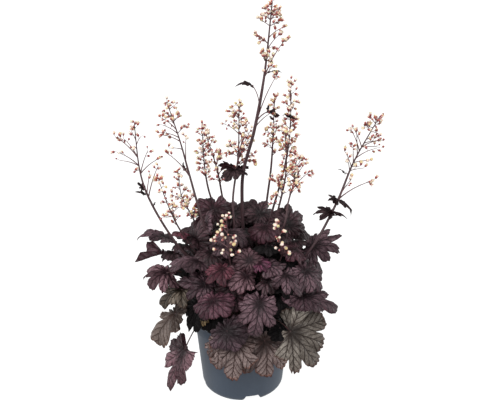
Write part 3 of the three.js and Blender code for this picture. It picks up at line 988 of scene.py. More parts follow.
    def relief(self, grid: BladeGrid, rng: np.random.Generator) -> Array:
        """How far the blade's middle layer stands above the flat grid, before it is bent.

        Near the stalk it rises as r*pleat*sin(pi|w|/2) from each main vein. Further out each half of a
        lobe swells as sin(pi|w|), with a groove down its vein and a cushion |cos| between its side veins.
        It falls at a lobe's edges as |w|^2.4, bends down as bend*(r-from)^2/length, twists, waves at the
        margin, falls at the sides as cup*x^2/length, and folds up as the distance from the midrib.

        Args:
            grid: the blade's grid.
            rng: the leaf's own random numbers.

        Returns:
            A height for each grid point.
        """
        size, teeth, count = self.length, self.form.value.teeth, len(grid.angles)
        r, out, w = grid.r, grid.out, grid.w
        a = np.radians(grid.theta)
        x, y = grid.flat()
        from_vein = np.radians(grid.theta - grid.angles[grid.lobe])
        side, along = r * np.sin(from_vein), r * np.cos(from_vein)
        inner = 1 / (1 + (r / (self.PLEATED * size)) ** 4)
        lift = self.PLEAT * r * np.sin(math.pi * np.abs(w) / 2) * inner
        lift = lift + self.SWELL * size * np.sin(math.pi * np.abs(w)) ** 0.8 * (1 - inner)
        lift = lift - (0.3 + 0.006 * r) * np.exp(-(side / (1.0 + 0.02 * r)) ** 2) * (r > 3)
        order = (along - self.RIB_SLANT * np.abs(side)) / self.RIB_SPACING
        cushion = np.abs(np.cos(math.pi * (order + LeafSkin.STAGGER * np.sign(side)))) ** 0.7
        lift = lift + self.CUSHION * cushion * np.minimum(1, np.abs(side) / 5) * np.minimum(1, r / 20)
        lift = lift - self.EDGE_FALL * size * out ** 2.5 * np.abs(w) ** 2.4
        bends = self.bends or rng.uniform(*self.BENDS_VARY, count)
        bend_here = np.interp(grid.theta, grid.angles, bends)
        lift = lift - bend_here * np.maximum(0, r - self.BEND_FROM * size) ** 2 / size
        lift = lift + rng.uniform(-self.TWIST, self.TWIST, count)[grid.lobe] * side * out * (1 - w ** 2)
        waves, phase = rng.integers(4, 7), rng.uniform(0, 6.28, 7)
        lift = lift + self.ruffle * out ** 3 * (np.sin(waves * a + phase[0])
                                                + 0.5 * np.sin((2 * waves + 3) * a + phase[1]))
        lift = lift + 0.3 * out ** 2 * np.cos(teeth * math.pi * w) * self.ruffle
        broad = np.sin(x / 7.5 + phase[3] + y / 19) * np.sin(y / 8.5 + phase[4])
        broad = broad + 0.7 * np.sin((x + y) / 13 + phase[5])
        lift = lift + self.crumple * self.UNEVEN * broad * np.minimum(1, r / 25)
        lift = lift - self.DIMPLE * np.exp(-(r / self.DIMPLE_WIDTH) ** 2) + self.cup * x ** 2 / size
        return lift + self.fold * (np.sqrt(x ** 2 + 9) - 3)

    def place(self, across: Array, forward: Array, up: Array) -> Array:
        """Bends flat points about x onto a drum of radius length/droop, and stands them where the leaf is.

        Args:
            across: distances from the midrib.
            forward: distances along it.
            up: heights above the drum.

        Returns:
            The points, with a last axis of 3.
        """
        x_axis, y_axis, z_axis = self.axes()
        bend = math.radians(self.droop)
        drum, turn = self.length / bend, bend * forward / self.length
        return (across[..., None] * x_axis + ((drum + up) * np.sin(turn))[..., None] * y_axis
                + ((drum + up) * np.cos(turn) - drum)[..., None] * z_axis + np.array(self.at))

    def surface(self, material: int, fineness: float = 1.0) -> Patch:
        """The blade as a closed thin shell: its upper face, then its underside from the margin inwards.

        Args:
            material: which material it wears.
            fineness: scales the number of grid lines.

        Returns:
            The patch, with the attributes reach, tone and under, and its UV map.
        """
        rng = np.random.default_rng(self.seed + 11)
        grid = self.grid(rng, fineness)
        lift = self.relief(grid, rng)
        half_thick = self.THICKNESS * (1 - 0.5 * grid.out) / 2
        top = self.place(*grid.flat(), lift + half_thick)
        below = self.place(*grid.flat(), lift - half_thick)[::-1]
        poles = self.place(np.zeros(2), np.zeros(2), np.array([self.HUB_HALF, -self.HUB_HALF]) - self.DIMPLE)
        # a tone for each lobe, which varies its silver and gives it painted light and shade
        tone = rng.uniform(-1, 1, len(grid.angles))[grid.lobe]
        reach = grid.out * np.clip(grid.outline / (0.5 * self.length), 0.2, 1.0)
        rings, columns = grid.r.shape
        values = {
            "reach": np.concatenate([reach.ravel(), reach[::-1].ravel(), [0, 0]]),
            "tone": np.concatenate([np.tile(tone, 2 * rings), [0, 0]]),
            "under": np.repeat([0, 1, 0, 1], [rings * columns, rings * columns, 1, 1]),
        }
        points = np.concatenate([part.reshape(-1, 3) for part in (top, below, poles)])
        return Patch(points, *closed_faces(2 * rings, columns), material, grid.vein_map(), values)

    def stalk(self, material: int, root: Array | None = None, steps: int = 22) -> Patch:
        """The stalk: a quadratic curve up off the crown and over to the blade, thicker at its foot.

        Args:
            material: which material it wears.
            root: where it starts, if that isn't the crown.
            steps: how many steps it has.

        Returns:
            The patch.
        """
        at = np.array(self.at, float)
        if root is None:
            azimuth = math.degrees(math.atan2(at[0], -at[1])) + self.spin
            root = crown_point(azimuth, self.ring, STALK_RADIUS)
        middle = root + 0.45 * (at - root)
        middle[2] = max(self.OVER_LOWEST, at[2] - 0.25 * (at[2] - self.OVER_LEVEL)) + self.arch
        path = bezier(root, middle, at - (self.DIMPLE + 0.1) * self.axes()[2], steps)
        t = np.linspace(0, 1, steps + 1)
        radius = STALK_RADIUS * (0.78 + 0.5 * np.exp(-t / 0.05) + 0.22 * np.exp(-(1 - t) / 0.03))
        return tubes(path, radius, 8, material, {"reach": t[None] ** 2})


def crown_height(reach: float) -> float:
    """The crown's top at a distance from the axis, along straight steps."""
    return float(np.interp(reach, [0, CROWN_RADIUS - 24, CROWN_RADIUS - 9, CROWN_RADIUS - 1],
                           [CROWN_TOP, CROWN_TOP - 1.5, CROWN_TOP - 5, SOIL_TOP + 4]))


def crown_point(azimuth: float, reach: float, radius: float) -> Array:
    """A point on the crown where a rod of that radius starts just clear of it."""
    a = math.radians(azimuth)
    return np.array([reach * math.sin(a), -reach * math.cos(a), crown_height(reach) + GAP + radius * 0.42])


def leaf_rows() -> dict[int, Leaf]:
    """The front and side leaves.

    Returns:
        Each leaf, by the number of the node that it replaces.
    """
    b, l, s, k = Form.BROAD, Form.LONG, Form.SLIM, Leafage
    return {
        1: Leaf((-138, -10, 307), -75, 10, 50, k.PLUM, l, 26, cup=-0.1, droop=30, slit=0.45),
        2: Leaf((-140, -20, 279), -78, -15, 60, k.DUSK, Form.FOLDED, 32, cup=0.0, droop=3, fold=1.2,
            lobes=(1, 1, 1, 1, 1, 0.5, 1, 1, 1), bends=(0.0,) * 9, ruffle=0.5, crumple=0.3),
        3: Leaf((-130, -75, 267), -70, -4, 50, k.MAUVE, l, 38, arch=36,
            lobes=(0.8, 0.9, 0.95, 1, 0.95, 1, 1.05, 1.1, 0.95)),
        4: Leaf((-72, -92, 294), -65, 5, 56, k.PLUM, b, 26, arch=8, tilt=24, slit=0.9,
            lobes=(0.8, 0.9, 0.95, 1, 1, 0.84, 0.62, 0.48, 0.45)),
        5: Leaf((-104, -92, 243), -70, -30, 48, k.OLIVE, l, 38, arch=25,
            lobes=(0.9, 0.9, 0.95, 1, 0.95, 0.9, 0.9, 0.9, 0.8)),
        6: Leaf((-118, -80, 190), -60, -45, 64, k.BEIGE, b, 40, spin=-40, slit=0.45, droop=30,
            lobes=(1.05, 0.4, 0.4, 0.6, 1, 0.72, 0.5, 0.4, 0.65), turns=(24, 10, -10, -14, 0, 15, 10, 0, 0)),
        # leaves 07 and 37 wear the near-black skin: painted shade
        7: Leaf((-76, -80, 205), -75, -70, 56, k.BLACK, s, 34),
        8: Leaf((-105, -80, 115), -70, -70, 85, k.MAUVE, l, 41, droop=24, cup=-0.14,
            lobes=(0.24, 0.66, 0.7, 0.82, 0.98, 0.86, 0.6, 0.62, 0.24),
            turns=(10, 8, 8, 8, 0, -14, -22, -20, -16), bends=(0.3, 0.2, 0.3, 0.1, 0.1, 0.1, 0.3, 0.3, 0.3)),
        9: Leaf((-82, -32, 306), 175, 60, 50, k.DARK, l, 24),
        10: Leaf((-52, 8, 350), -160, 26, 42, k.DUSK, b, 19),
        11: Leaf((-18, 20, 335), -175, 25, 48, k.DARK, l, 19),
        12: Leaf((32, 10, 343), -160, 22, 46, k.DARK, l, 19),
        13: Leaf((80, -25, 336), 150, 34, 44, k.DARK, b, 22, tilt=-18, slit=1.0,
            lobes=(1, 1, 1, 1, 0.92, 0.9, 0.9, 0.9, 1)),
        15: Leaf((125, -34, 299), 92, 19, 57, k.PLUM, l, 30, slit=0.8),
        16: Leaf((107, -102, 282), 70, -45, 50, k.PLUM, l, 30, arch=20, slit=1.1),
        17: Leaf((73, -120, 284), 40, -37, 44, k.PLUM, l, 34, slit=0.75, cup=-0.16,
            lobes=(0.9, 0.9, 1, 1, 1, 0.9, 0.75, 0.7, 0.7)),
        18: Leaf((102, -122, 246), 75, -14, 60, k.PLUM, b, 38, tilt=30, cup=-0.12, droop=24,
            lobes=(0.9, 0.7, 0.75, 0.85, 1.05, 0.9, 0.9, 0.9, 0.9), bends=(0.2,) * 9),
        20: Leaf((82, -143, 190), 77, -21, 66, k.PEWTER, b, 41, droop=20, cup=-0.1,
            lobes=(0.42, 0.94, 1.08, 1.02, 0.96, 0.95, 0.82, 0.7, 0.15),
            turns=(14, 34, 16, 2, 0, -4, 2, 8, 0), slit=1.18,
            bends=(0.3, 0.3, 0.3, 0.2, 0.25, 0.2, 0.05, 0.1, 0.5)),
        21: Leaf((113, -72, 206), 80, -55, 56, k.OLIVE, l, 40),
        22: Leaf((40, -112, 152), 10, -80, 74, k.PINK, b, 41, slit=0.85, tilt=12,
            lobes=(0.65, 0.75, 0.9, 0.95, 0.95, 0.95, 0.9, 0.75, 0.6)),
        23: Leaf((-8, -128, 160), -5, -85, 70, k.PINK, b, 41, arch=10,
            lobes=(0.6, 0.7, 0.85, 1, 1, 0.8, 0.55, 0.5, 0.5)),
        24: Leaf((-25, -142, 190), 40, -63, 48, k.SHADED, b, 38, arch=20,
            lobes=(0.8, 0.8, 0.85, 0.8, 0.82, 0.8, 0.8, 0.85, 0.8)),
        25: Leaf((30, -148, 246), -5, -64, 62, k.PLUM, l, 34,
            lobes=(0.8, 0.75, 0.7, 0.8, 0.92, 0.88, 0.75, 0.7, 0.7)),
        26: Leaf((-46, -142, 248), -2, -48, 43, k.ROSE, b, 34,
            lobes=(1, 1, 0.95, 0.88, 0.82, 0.85, 0.95, 1, 1)),
        27: Leaf((8, -112, 278), -78, -4, 46, k.MAUVE, l, 30),
        28: Leaf((-31, -128, 300), -45, -30, 36, k.WINE, l, 28, arch=10, slit=1.15),
        29: Leaf((-62, -98, 254), -80, 0, 42, k.PLUM, l, 32, arch=8, slit=1.15),
        30: Leaf((13, -103, 302), -175, 32, 32, k.MAUVE, b, 22, spin=12, arch=28),
        31: Leaf((45, -107, 296), 85, -10, 30, k.PLUM, b, 30),
        32: Leaf((42, -115, 270), 62, -24, 27, k.DARK, b, 36),
        33: Leaf((94, -72, 308), -65, -2, 33, k.DUSK, b, 24, arch=10),
        34: Leaf((40, -44, 338), -20, -36, 33, k.DUSK, b, 18),
        35: Leaf((-24, -58, 334), 55, -17, 42, k.PLUM, b, 18),
        36: Leaf((-30, -62, 318), -40, -35, 32, k.PLUM, b, 26),
        37: Leaf((42, -76, 316), 10, -12, 27, k.BLACK, b, 20),
    }


def inner_rows() -> tuple[Leaf, ...]:
    """Young leaves inside the mound, in the shade of the outer ones; those in the near-black skin carry
    painted shade.

    Returns:
        Those that fill gaps one by one, then two rows round the back and the sides.
    """
    b, l, dark, black, k = Form.BROAD, Form.LONG, Leafage.DARK, Leafage.BLACK, Leafage
    rows = (((-52, -62, 300), -50, -20, 38, b, dark), ((-7, -60, 287), -10, -30, 40, b, dark),
            ((35, -58, 300), 20, -35, 36, b, black), ((76, -68, 290), 50, -35, 38, b, black),
            ((100, -74, 262), 60, -45, 40, b, dark), ((-17, -88, 249), -20, -50, 40, b, dark),
            ((35, -88, 246), 10, -55, 40, l, black), ((72, -96, 223), 30, -60, 38, b, black),
            ((-79, -20, 308), -80, 10, 36, b, dark), ((7, -5, 318), 10, -20, 40, b, dark),
            ((-92, -44, 270), -65, -25, 38, b, black), ((45, -88, 182), 20, -75, 40, b, black),
            ((-49, -84, 188), -30, -70, 38, b, black), ((-82, -58, 210), -55, -60, 38, l, black),
            ((-31, -12, 320), -60, -15, 38, b, dark), ((60, -20, 316), 60, -10, 36, b, dark),
            ((78, -104, 262), 40, -50, 34, b, black), ((58, -112, 238), 10, -60, 34, b, black),
            ((29, -106, 300), 80, -8, 22, b, k.MAGENTA), ((-12, -106, 236), -5, -60, 30, b, k.DUSK),
            ((-38, -124, 156), -8, -80, 40, l, k.PINK), ((-68, -94, 191), -55, -70, 18, l, k.TAN),
            ((-107, -38, 328), -30, -10, 20, b, k.WINE), ((-62, -32, 338), -150, 68, 34, l, k.PLUM),
            ((-36, -84, 284), -30, -45, 34, b, dark), ((84, -52, 292), 60, -40, 34, b, black),
            ((88, -30, 236), 84, -45, 42, b, dark), ((84, -58, 208), 72, -60, 38, b, black),
            ((92, 14, 196), 96, -60, 40, b, k.OLIVE), ((-92, 0, 236), -92, -50, 42, b, dark),
            ((-84, 4, 200), -88, -60, 40, b, k.OLIVE), ((-98, 30, 262), -108, -40, 38, b, k.PLUM),
            ((112, -46, 274), 60, -50, 24, b, dark), ((-49, -66, 248), -20, -50, 32, b, dark),
            ((103, -36, 292), 60, -55, 20, b, dark), ((66, -114, 180), 30, -70, 26, b, black),
            ((-120, -50, 293), -60, -15, 26, b, k.UMBER), ((-104, -30, 300), -50, -10, 26, b, dark),
            ((93, -30, 306), 70, -10, 25, b, dark))
    young = [Leaf(at, heading, pitch, length, skin, form, ring=12 + 4 * (i % 5), seed=300 + 13 * i)
             for i, (at, heading, pitch, length, form, skin) in enumerate(rows)]
    rings = ((54, 284, -25, 42, 70), (84, 226, -50, 44, 80))
    for row, (reach, height, pitch, length, first) in enumerate(rings):
        for i in range(10):
            azimuth = first + 22 * i
            at = (reach + 8 * (i % 2)) * direction(azimuth, 0)
            skin = (dark, k.DUSK, k.PLUM)[(i + row) % 3]
            young.append(Leaf((at[0], at[1], height - 12 * (i % 2)), azimuth + 9 * (i % 3) - 9, pitch,
                              length, skin, b, ring=20 + 3 * (i % 4), seed=700 + 11 * i + row))
    return tuple(young)


@dataclass
class Foliage:
    """The leaves of the front and the sides, one piece each, and the young ones among them."""

    finishes: Finishes
    leaves: dict[int, Leaf] = field(default_factory=leaf_rows)
    inner: tuple[Leaf, ...] = field(default_factory=inner_rows)

    def build(self) -> None:
        """Makes every leaf: its blade and its stalk, and the young leaves as one piece."""
        for order, (number, leaf) in enumerate(self.leaves.items()):
            node = f"leaf_{number:02d}"
            leaf = replace(leaf, seed=100 + 7 * order)
            piece = make_piece(node + "_blade", [leaf.surface(0, 0.9), leaf.stalk(1)],
                               [self.finishes.leaf[leaf.skin], self.finishes.stalk])
            enter(piece, "leaf", node)
        skins = [skin for skin in Leafage if any(leaf.skin is skin for leaf in self.inner)]
        patches = [p for leaf in self.inner
                   for p in (leaf.surface(skins.index(leaf.skin), 0.52), leaf.stalk(len(skins), steps=12))]
        materials = [self.finishes.leaf[skin] for skin in skins] + [self.finishes.stalk]
        enter(make_piece("young_leaves", patches, materials), "leaf")


@dataclass
class BackShoots:
    """Woody shoots round the back and the sides, three leaves on each: high, middle and low.

    Attributes:
        finishes: the materials.
        shoots: how many there are.
        first: azimuth of the first one.
        step: degrees from one to the next.
        ring: how far from the axis they stand.
        radius: a shoot's radius at its foot.
        height: how high its stub is.
    """

    finishes: Finishes
    shoots: int = 7
    first: float = 112.0
    step: float = 21.0
    ring: float = 32.0
    radius: float = 5.0
    height: float = 9.0

    def leaves(self, i: int) -> list[Leaf]:
        """The three leaves of one shoot, staggered from the next shoot's.

        Args:
            i: which shoot it is.

        Returns:
            The high, the middle and the low leaf.
        """
        near, azimuth = i % 2, self.first + self.step * i
        rows = [(4, 88 - 14 * near, 300 + 16 * near, -16 - 4 * near, 54 - 6 * near, 12, Leafage.DARK),
                (-5, 122 + 10 * near, 252 - 14 * near, -40, 54, -10, Leafage.PLUM),
                (3, 128 - 12 * near, 190 - 12 * near, -62, 54, 8, (Leafage.PEWTER, Leafage.OLIVE)[near])]
        leaves = []
        for row, (turn, reach, height, pitch, length, side, skin) in enumerate(rows):
            at = reach * direction(azimuth + turn, 0)
            leaves.append(Leaf((at[0], at[1], height), azimuth + turn + side, pitch, length, skin,
                               droop=(56, 40, 30)[row], cup=-0.2, slit=(0.8, 1.0)[row % 2],
                               seed=500 + 31 * i + row))
        return leaves

    def build(self) -> None:
        """Makes each shoot: its stub, its stalks and its blades."""
        for i in range(self.shoots):
            azimuth = self.first + self.step * i
            root = crown_point(azimuth, self.ring, self.radius)
            foot = crown_height(max(0.0, self.ring - self.radius)) + GAP
            t = np.linspace(0, 1, 9)
            stub = np.stack([np.full(9, root[0]), np.full(9, root[1]), foot + self.height * t], -1)
            rough = 1 + 0.08 * np.sin(t * 23 + i)
            patches = [tubes(stub, self.radius * (1 - 0.22 * t) * rough, 14, 4)]
            leaves = self.leaves(i)
            for row, leaf in enumerate(leaves):
                start = np.array([root[0], root[1], foot + self.height * 0.6])
                outward = direction(math.degrees(math.atan2(leaf.at[0], -leaf.at[1])), 0)
                patches += [leaf.surface(row, 0.66), leaf.stalk(3, start + (2 - 2 * row) * outward)]
            materials = [self.finishes.leaf[leaf.skin] for leaf in leaves]
            materials += [self.finishes.stalk, self.finishes.crown]
            node = f"back_shoot_{i + 1}"
            enter(make_piece(node + "_leaves", patches, materials), "back_leaf", node)


# ---------------- flower stems
@dataclass(frozen=True)
class StemLeaf:
    """A small leaf on a flower stem.

    Attributes:
        share: how far up the stem it leaves it.
        heading: azimuth of its stalk and its midrib.
        rise: the stalk's angle above level.
        stalk: the stalk's length.
        pitch: the midrib's angle above level.
        length: the blade's length.
        droop: how far the blade bends down.
        form: its outline.
        tilt: turns its upper face upwards.
    """

    share: float
    heading: float
    rise: float
    stalk: float
    pitch: float
    length: float
    droop: float = 35.0
    form: Form = Form.BRACT
    tilt: float = -40.0


@dataclass(frozen=True)
class StemPlan:
    """One flower stem.

    Attributes:
        ring: how far from the axis it starts.
        azimuth: which way it starts, and its lowest branch's heading.
        flowering: share of its length where its own branches begin.
        branches: how many of them there are.
        spread: length of the lowest branch.
        route: points it passes through above the crown.
        stout: its radius at the foot.
        boughs: the branches that are placed one by one.
        leaves: its small leaves.
        closed: share of its flowers that are still buds.
    """

    ring: float
    azimuth: float
    flowering: float
    branches: int
    spread: float
    route: tuple[tuple[float, float, float], ...]
    stout: float = 1.55
    boughs: tuple[tuple[float, float, float, float, int], ...] = ()
    leaves: tuple[StemLeaf, ...] = ()
    closed: float = 0.18


def stem_rows() -> tuple[StemPlan, ...]:
    """The flower stems. A bough is [share of the stem's length, dx, dy, dz, florets].

    Returns:
        The stems, in the order of the nodes that they replace.
    """
    return (
        StemPlan(15, -50, 0.9, 2, 11, ((-50, -40, 225), (-114, -60, 316), (-159, -45, 393), (-173, -35, 436),
            (-180, -25, 517)), boughs=((0.84, -33, 5, 8, 1), (0.7, 20, -6, 58, 3), (0.72, 6, 8, 34, 2),
            (0.8, 34, 4, 27, 2), (0.8, 14, 6, 40, 3), (0.84, -34, -5, 25, 3), (0.86, -37, 7, 34, 5),
            (0.87, -24, 12, 30, 4), (0.81, -8, -5, -2, 2), (0.92, 9, -3, 16, 2), (0.94, -8, 5, 16, 2)),
            leaves=(StemLeaf(0.735, -100, 30, 3, 34, 17, 20, Form.BLADE),
            StemLeaf(0.715, -80, 20, 3, 18, 17, 20, Form.BLADE), StemLeaf(0.67, 70, 40, 2, 40, 7)),
            stout=1.7),
        StemPlan(9, -35, 0.9, 5, 11, ((-40, -34, 260), (-67, -38, 343), (-91, -10, 421), (-106, -5, 481),
            (-127, 0, 550)), boughs=((0.69, -40, 5, 42, 3), (0.745, 1, 8, 42, 4), (0.8, -22, -6, 4, 2),
            (0.83, -29, 5, 10, 3), (0.85, -29, -8, 11, 4), (0.865, -27, 9, 13, 4), (0.88, -26, -3, 22, 4),
            (0.87, 14, 4, 12, 4), (0.92, 12, -5, 10, 3), (0.93, -17, 6, 8, 3), (0.96, 9, 5, 7, 2)),
            leaves=(StemLeaf(0.695, -95, 35, 9, 10, 15, 80, Form.BLADE),), stout=1.7),
        StemPlan(14, -85, 0.7, 11, 10, ((-52, -28, 240), (-92, -46, 308), (-110, -55, 345), (-125, -70, 393),
            (-137, -75, 436)), boughs=((0.76, -14, -4, 0, 4), (0.78, 2, 4, 18, 4), (0.78, 12, -3, 14, 3)),
            stout=1.3),
        StemPlan(14, -132, 0.66, 13, 15, ((-52, 0, 250), (-74, -2, 296), (-89, 5, 337), (-107, 0, 379),
            (-112, -5, 427)), boughs=((0.82, -19, 3, 8, 5), (0.78, 14, -3, 14, 5), (0.74, -10, -8, 12, 5)),
            stout=1.3),
        StemPlan(20, -156, 0.72, 23, 12, ((-19, 27, 240), (-32, 30, 305), (-58, 44, 362), (-67, 38, 413),
            (-71, 35, 499))),
        StemPlan(15, 155, 0.7, 17, 12, ((-14, 32, 260), (-36, 48, 356), (-45, 30, 420), (-63, 15, 490)),
            boughs=((0.82, 12, 3, 24, 5), (0.76, 24, -4, 20, 3), (0.76, 16, 5, 12, 2))),
        StemPlan(6, -20, 0.88, 11, 12, ((-6, -18, 260), (-14, -22, 336), (-16, -15, 380), (-7, 20, 449),
            (-5, 30, 541)), boughs=((0.86, -25, 3, 17, 5), (0.9, 14, -3, 9, 4), (0.93, -9, 6, 6, 4),
            (0.95, -12, -3, 5, 5), (0.73, 18, 8, 70, 6), (0.74, 10, -8, 50, 5), (0.74, 23, 2, 60, 5),
            (0.74, 27, -6, 20, 6), (0.74, 29, 7, 5, 6), (0.75, 17, -2, 24, 6), (0.76, -15, 5, 6, 6),
            (0.77, -10, -7, 25, 5), (0.78, 5, 12, 5, 5), (0.72, 12, 9, 8, 4), (0.73, 6, -8, 30, 5),
            (0.76, 12, 6, 34, 5), (0.79, -14, -4, 16, 5), (0.75, 20, -5, 40, 5), (0.82, 8, 5, 16, 4)),
            leaves=(StemLeaf(0.712, -30, 0, 7, -22, 34, 30, Form.LONG, 0),
            StemLeaf(0.715, -95, 15, 10, 5, 30, 40), StemLeaf(0.715, 80, 25, 6, 10, 22, 30)), stout=1.6),
        StemPlan(2, 90, 0.95, 5, 10, ((4, 2, 260), (0, 0, 365), (2, 0, 423), (21, -5, 500), (37, -5, 589),
            (50, 0, 713)), boughs=((0.625, 37, -6, 92, 6), (0.625, 31, 5, 27, 3), (0.785, 14, -3, 19, 5),
            (0.785, 34, 4, 62, 9), (0.9, 25, -3, 18, 5), (0.87, 20, 5, 24, 5), (0.86, 9, -6, 6, 3),
            (0.88, -8, 4, 7, 5), (0.89, -21, -3, 14, 4), (0.83, -6, 5, 12, 5), (0.835, 5, -5, 10, 5),
            (0.84, 9, 4, 3, 4), (0.84, -5, -9, 6, 4), (0.93, -15, 5, 8, 5), (0.93, 15, -4, 5, 5),
            (0.95, -13, -6, 8, 5), (0.955, 11, 5, 10, 6), (0.965, -11, 3, 9, 5), (0.97, 10, -4, 7, 5)),
            leaves=(StemLeaf(0.7, -92, 71, 38, 1, 30, 64, Form.BLADE, 0),
            StemLeaf(0.785, 80, 50, 17, -5, 20, 40), StemLeaf(0.825, -60, 75, 3, 78, 10),
            StemLeaf(0.655, 85, 40, 32, 15, 15, 40), StemLeaf(0.655, 60, 42, 32, 60, 12, 30)), stout=2.45),
        StemPlan(13, 120, 0.74, 14, 12, ((26, 16, 260), (40, 26, 316), (45, 50, 352), (53, 60, 418),
            (58, 60, 546)), boughs=((0.84, -12, -3, 5, 5), (0.77, -8, 3, 4, 1), (0.82, 12, 3, 22, 3)),
            leaves=(StemLeaf(0.915, 60, 45, 3, 20, 13, 40), StemLeaf(0.9, -70, 45, 3, 50, 9)), stout=1.7),
        StemPlan(8, 90, 0.7, 25, 16, ((32, -12, 260), (53, -15, 356), (75, 0, 436), (83, 5, 500),
            (83, 5, 583)), leaves=(StemLeaf(0.87, -60, 35, 3, 10, 15, 40),
            StemLeaf(0.87, 20, 35, 3, 5, 14, 40)), stout=1.6),
        StemPlan(14, 75, 0.68, 18, 13, ((40, -18, 260), (60, -30, 352), (76, -20, 430), (73, -30, 507)),
            boughs=((0.69, -8, -4, 26, 6), (0.7, -15, 3, 20, 6), (0.66, -12, -6, 10, 5), (0.72, -5, 6, 18, 6),
            (0.64, -15, 0, 4, 4), (0.76, 10, -4, 16, 5))),
        StemPlan(12, 50, 0.83, 13, 13, ((50, -36, 260), (62, -46, 318), (73, -66, 354), (79, -52, 387),
            (90, -30, 420), (94, -20, 462)), boughs=((0.81, 31, 3, 34, 5), (0.84, 9, -3, 11, 4),
            (0.86, 21, 6, 34, 3), (0.79, 1, -5, 20, 5), (0.8, 13, 4, 12, 5), (0.93, 12, 5, 16, 5),
            (0.9, -9, -4, 14, 5)), leaves=(StemLeaf(0.71, -80, 30, 3, 0, 13, 40),)),
        StemPlan(17, 60, 0.95, 3, 10, ((50, -28, 215), (84, -46, 258), (119, -62, 305), (164, -36, 382),
            (192, -20, 450), (233, -15, 529)), boughs=((0.65, 57, -5, 36, 4), (0.65, 22, 6, 34, 5),
            (0.76, 24, 5, 3, 2), (0.79, 12, -5, 2, 2), (0.8, 25, 4, 3, 3), (0.81, 33, -5, 20, 3),
            (0.86, 32, 6, -2, 3), (0.86, 31, -6, 14, 3), (0.88, 27, 4, 3, 4), (0.905, 20, -6, 4, 4),
            (0.79, -12, 5, 26, 3), (0.8, -3, -6, 32, 4), (0.83, -2, 7, 36, 2), (0.845, -18, -3, 40, 4),
            (0.86, -14, 6, 30, 3), (0.76, -6, -6, 24, 3), (0.93, -8, 4, 10, 6), (0.945, -14, -4, 2, 5),
            (0.93, 12, 6, -4, 4), (0.97, -8, 3, 8, 3)), leaves=(StemLeaf(0.645, 55, 10, 4, -35, 34, 25),
            StemLeaf(0.645, -60, 20, 3, 5, 20), StemLeaf(0.6, 50, 0, 4, -5, 32),
            StemLeaf(0.6, -85, 0, 3, -4, 34, 25), StemLeaf(0.75, -95, 45, 6, 20, 15, 50, Form.BLADE)),
            stout=1.8, closed=0.1),
        StemPlan(26, -8, 0.7, 6, 9, ((-14, -80, 255), (-20, -98, 300), (-21, -112, 330), (-24, -125, 388)),
            boughs=((0.72, -18, -3, 8, 3), (0.76, -22, 3, 14, 4), (0.82, -17, -3, 14, 4),
            (0.88, -13, 3, 14, 4), (0.7, 10, -3, 4, 2), (0.77, 8, 3, 13, 3)), stout=1.2, closed=0.85),
        StemPlan(24, 28, 0.72, 9, 8, ((48, -62, 250), (68, -82, 300), (65, -108, 330), (60, -115, 374)),
            stout=1.2, closed=0.85),
    )


def floret_shape(petals: int = 5) -> Patch:
    """A floret about its own origin, opening along +Z: an urn-shaped cup and a flared ring of petals.

    The radius at each height is read off a short profile, and the ring is pushed out and in by turns at
    its petals' tips. Under a hundred faces in all.

    Args:
        petals: how many there are.

    Returns:
        The patch, with reach running from 0 at the foot to 1 at the petals' tips.
    """
    profile = np.array([[0.0, 0.0], [0.9, 0.3], [1.9, 1.7], [2.0, 3.2], [1.55, 4.5], [2.5, 6.2], [0.9, 5.4],
                        [0.0, 4.9]])
    reach = np.array([0, 0.05, 0.2, 0.38, 0.5, 1.0, 0.8, 0.7])
    shape = revolve(profile, 2 * petals)
    turn = np.arctan2(shape.points[:, 1], shape.points[:, 0])
    flare = np.clip((shape.points[:, 2] - 4.5) / 1.7, 0, 1)
    wave = np.cos(petals * turn)
    shape.points[:, :2] *= (1 + 0.3 * flare * wave)[:, None]
    shape.points[:, 2] += 0.8 * flare * wave
    shape.values["reach"] = np.concatenate([np.repeat(reach[1:-1], 2 * petals), [reach[0], reach[-1]]])
    return shape


def bud_shape(sides: int = 7, size: float = 1.0, ripeness: float = 1.0) -> Patch:
    """A closed bud about its own origin, along +Z: a red foot under a plump cream egg.

    Args:
        sides: points round it.
        size: scales it.
        ripeness: how far its colour runs from red to cream at the tip.

    Returns:
        The patch, with reach running from 0 at the foot to the ripeness at the tip.
    """
    profile = np.array([[0.0, 0.0], [0.9, 0.35], [1.7, 1.3], [2.5, 2.9], [2.6, 4.2], [1.9, 5.6],
                        [0.0, 6.3]])
    reach = np.array([0, 0.1, 0.3, 0.6, 0.8, 0.95, 1.0]) * ripeness
    shape = revolve(profile * size, sides)
    shape.values["reach"] = np.concatenate([np.repeat(reach[1:-1], sides), [reach[0], reach[-1]]])
    return shape


def turned_to(ways: Array) -> Array:
    """A rotation for each direction that carries +Z onto it.

    Args:
        ways: unit vectors, (k, 3).

    Returns:
        The rotations, their columns the new axes, (k, 3, 3).
    """
    fixed = np.where(np.abs(ways[:, 2:]) < 0.9, np.array([[0.0, 0, 1]]), np.array([[1.0, 0, 0]]))
    one = unit(np.cross(fixed, ways))
    return np.stack([one, np.cross(ways, one), ways], -1)


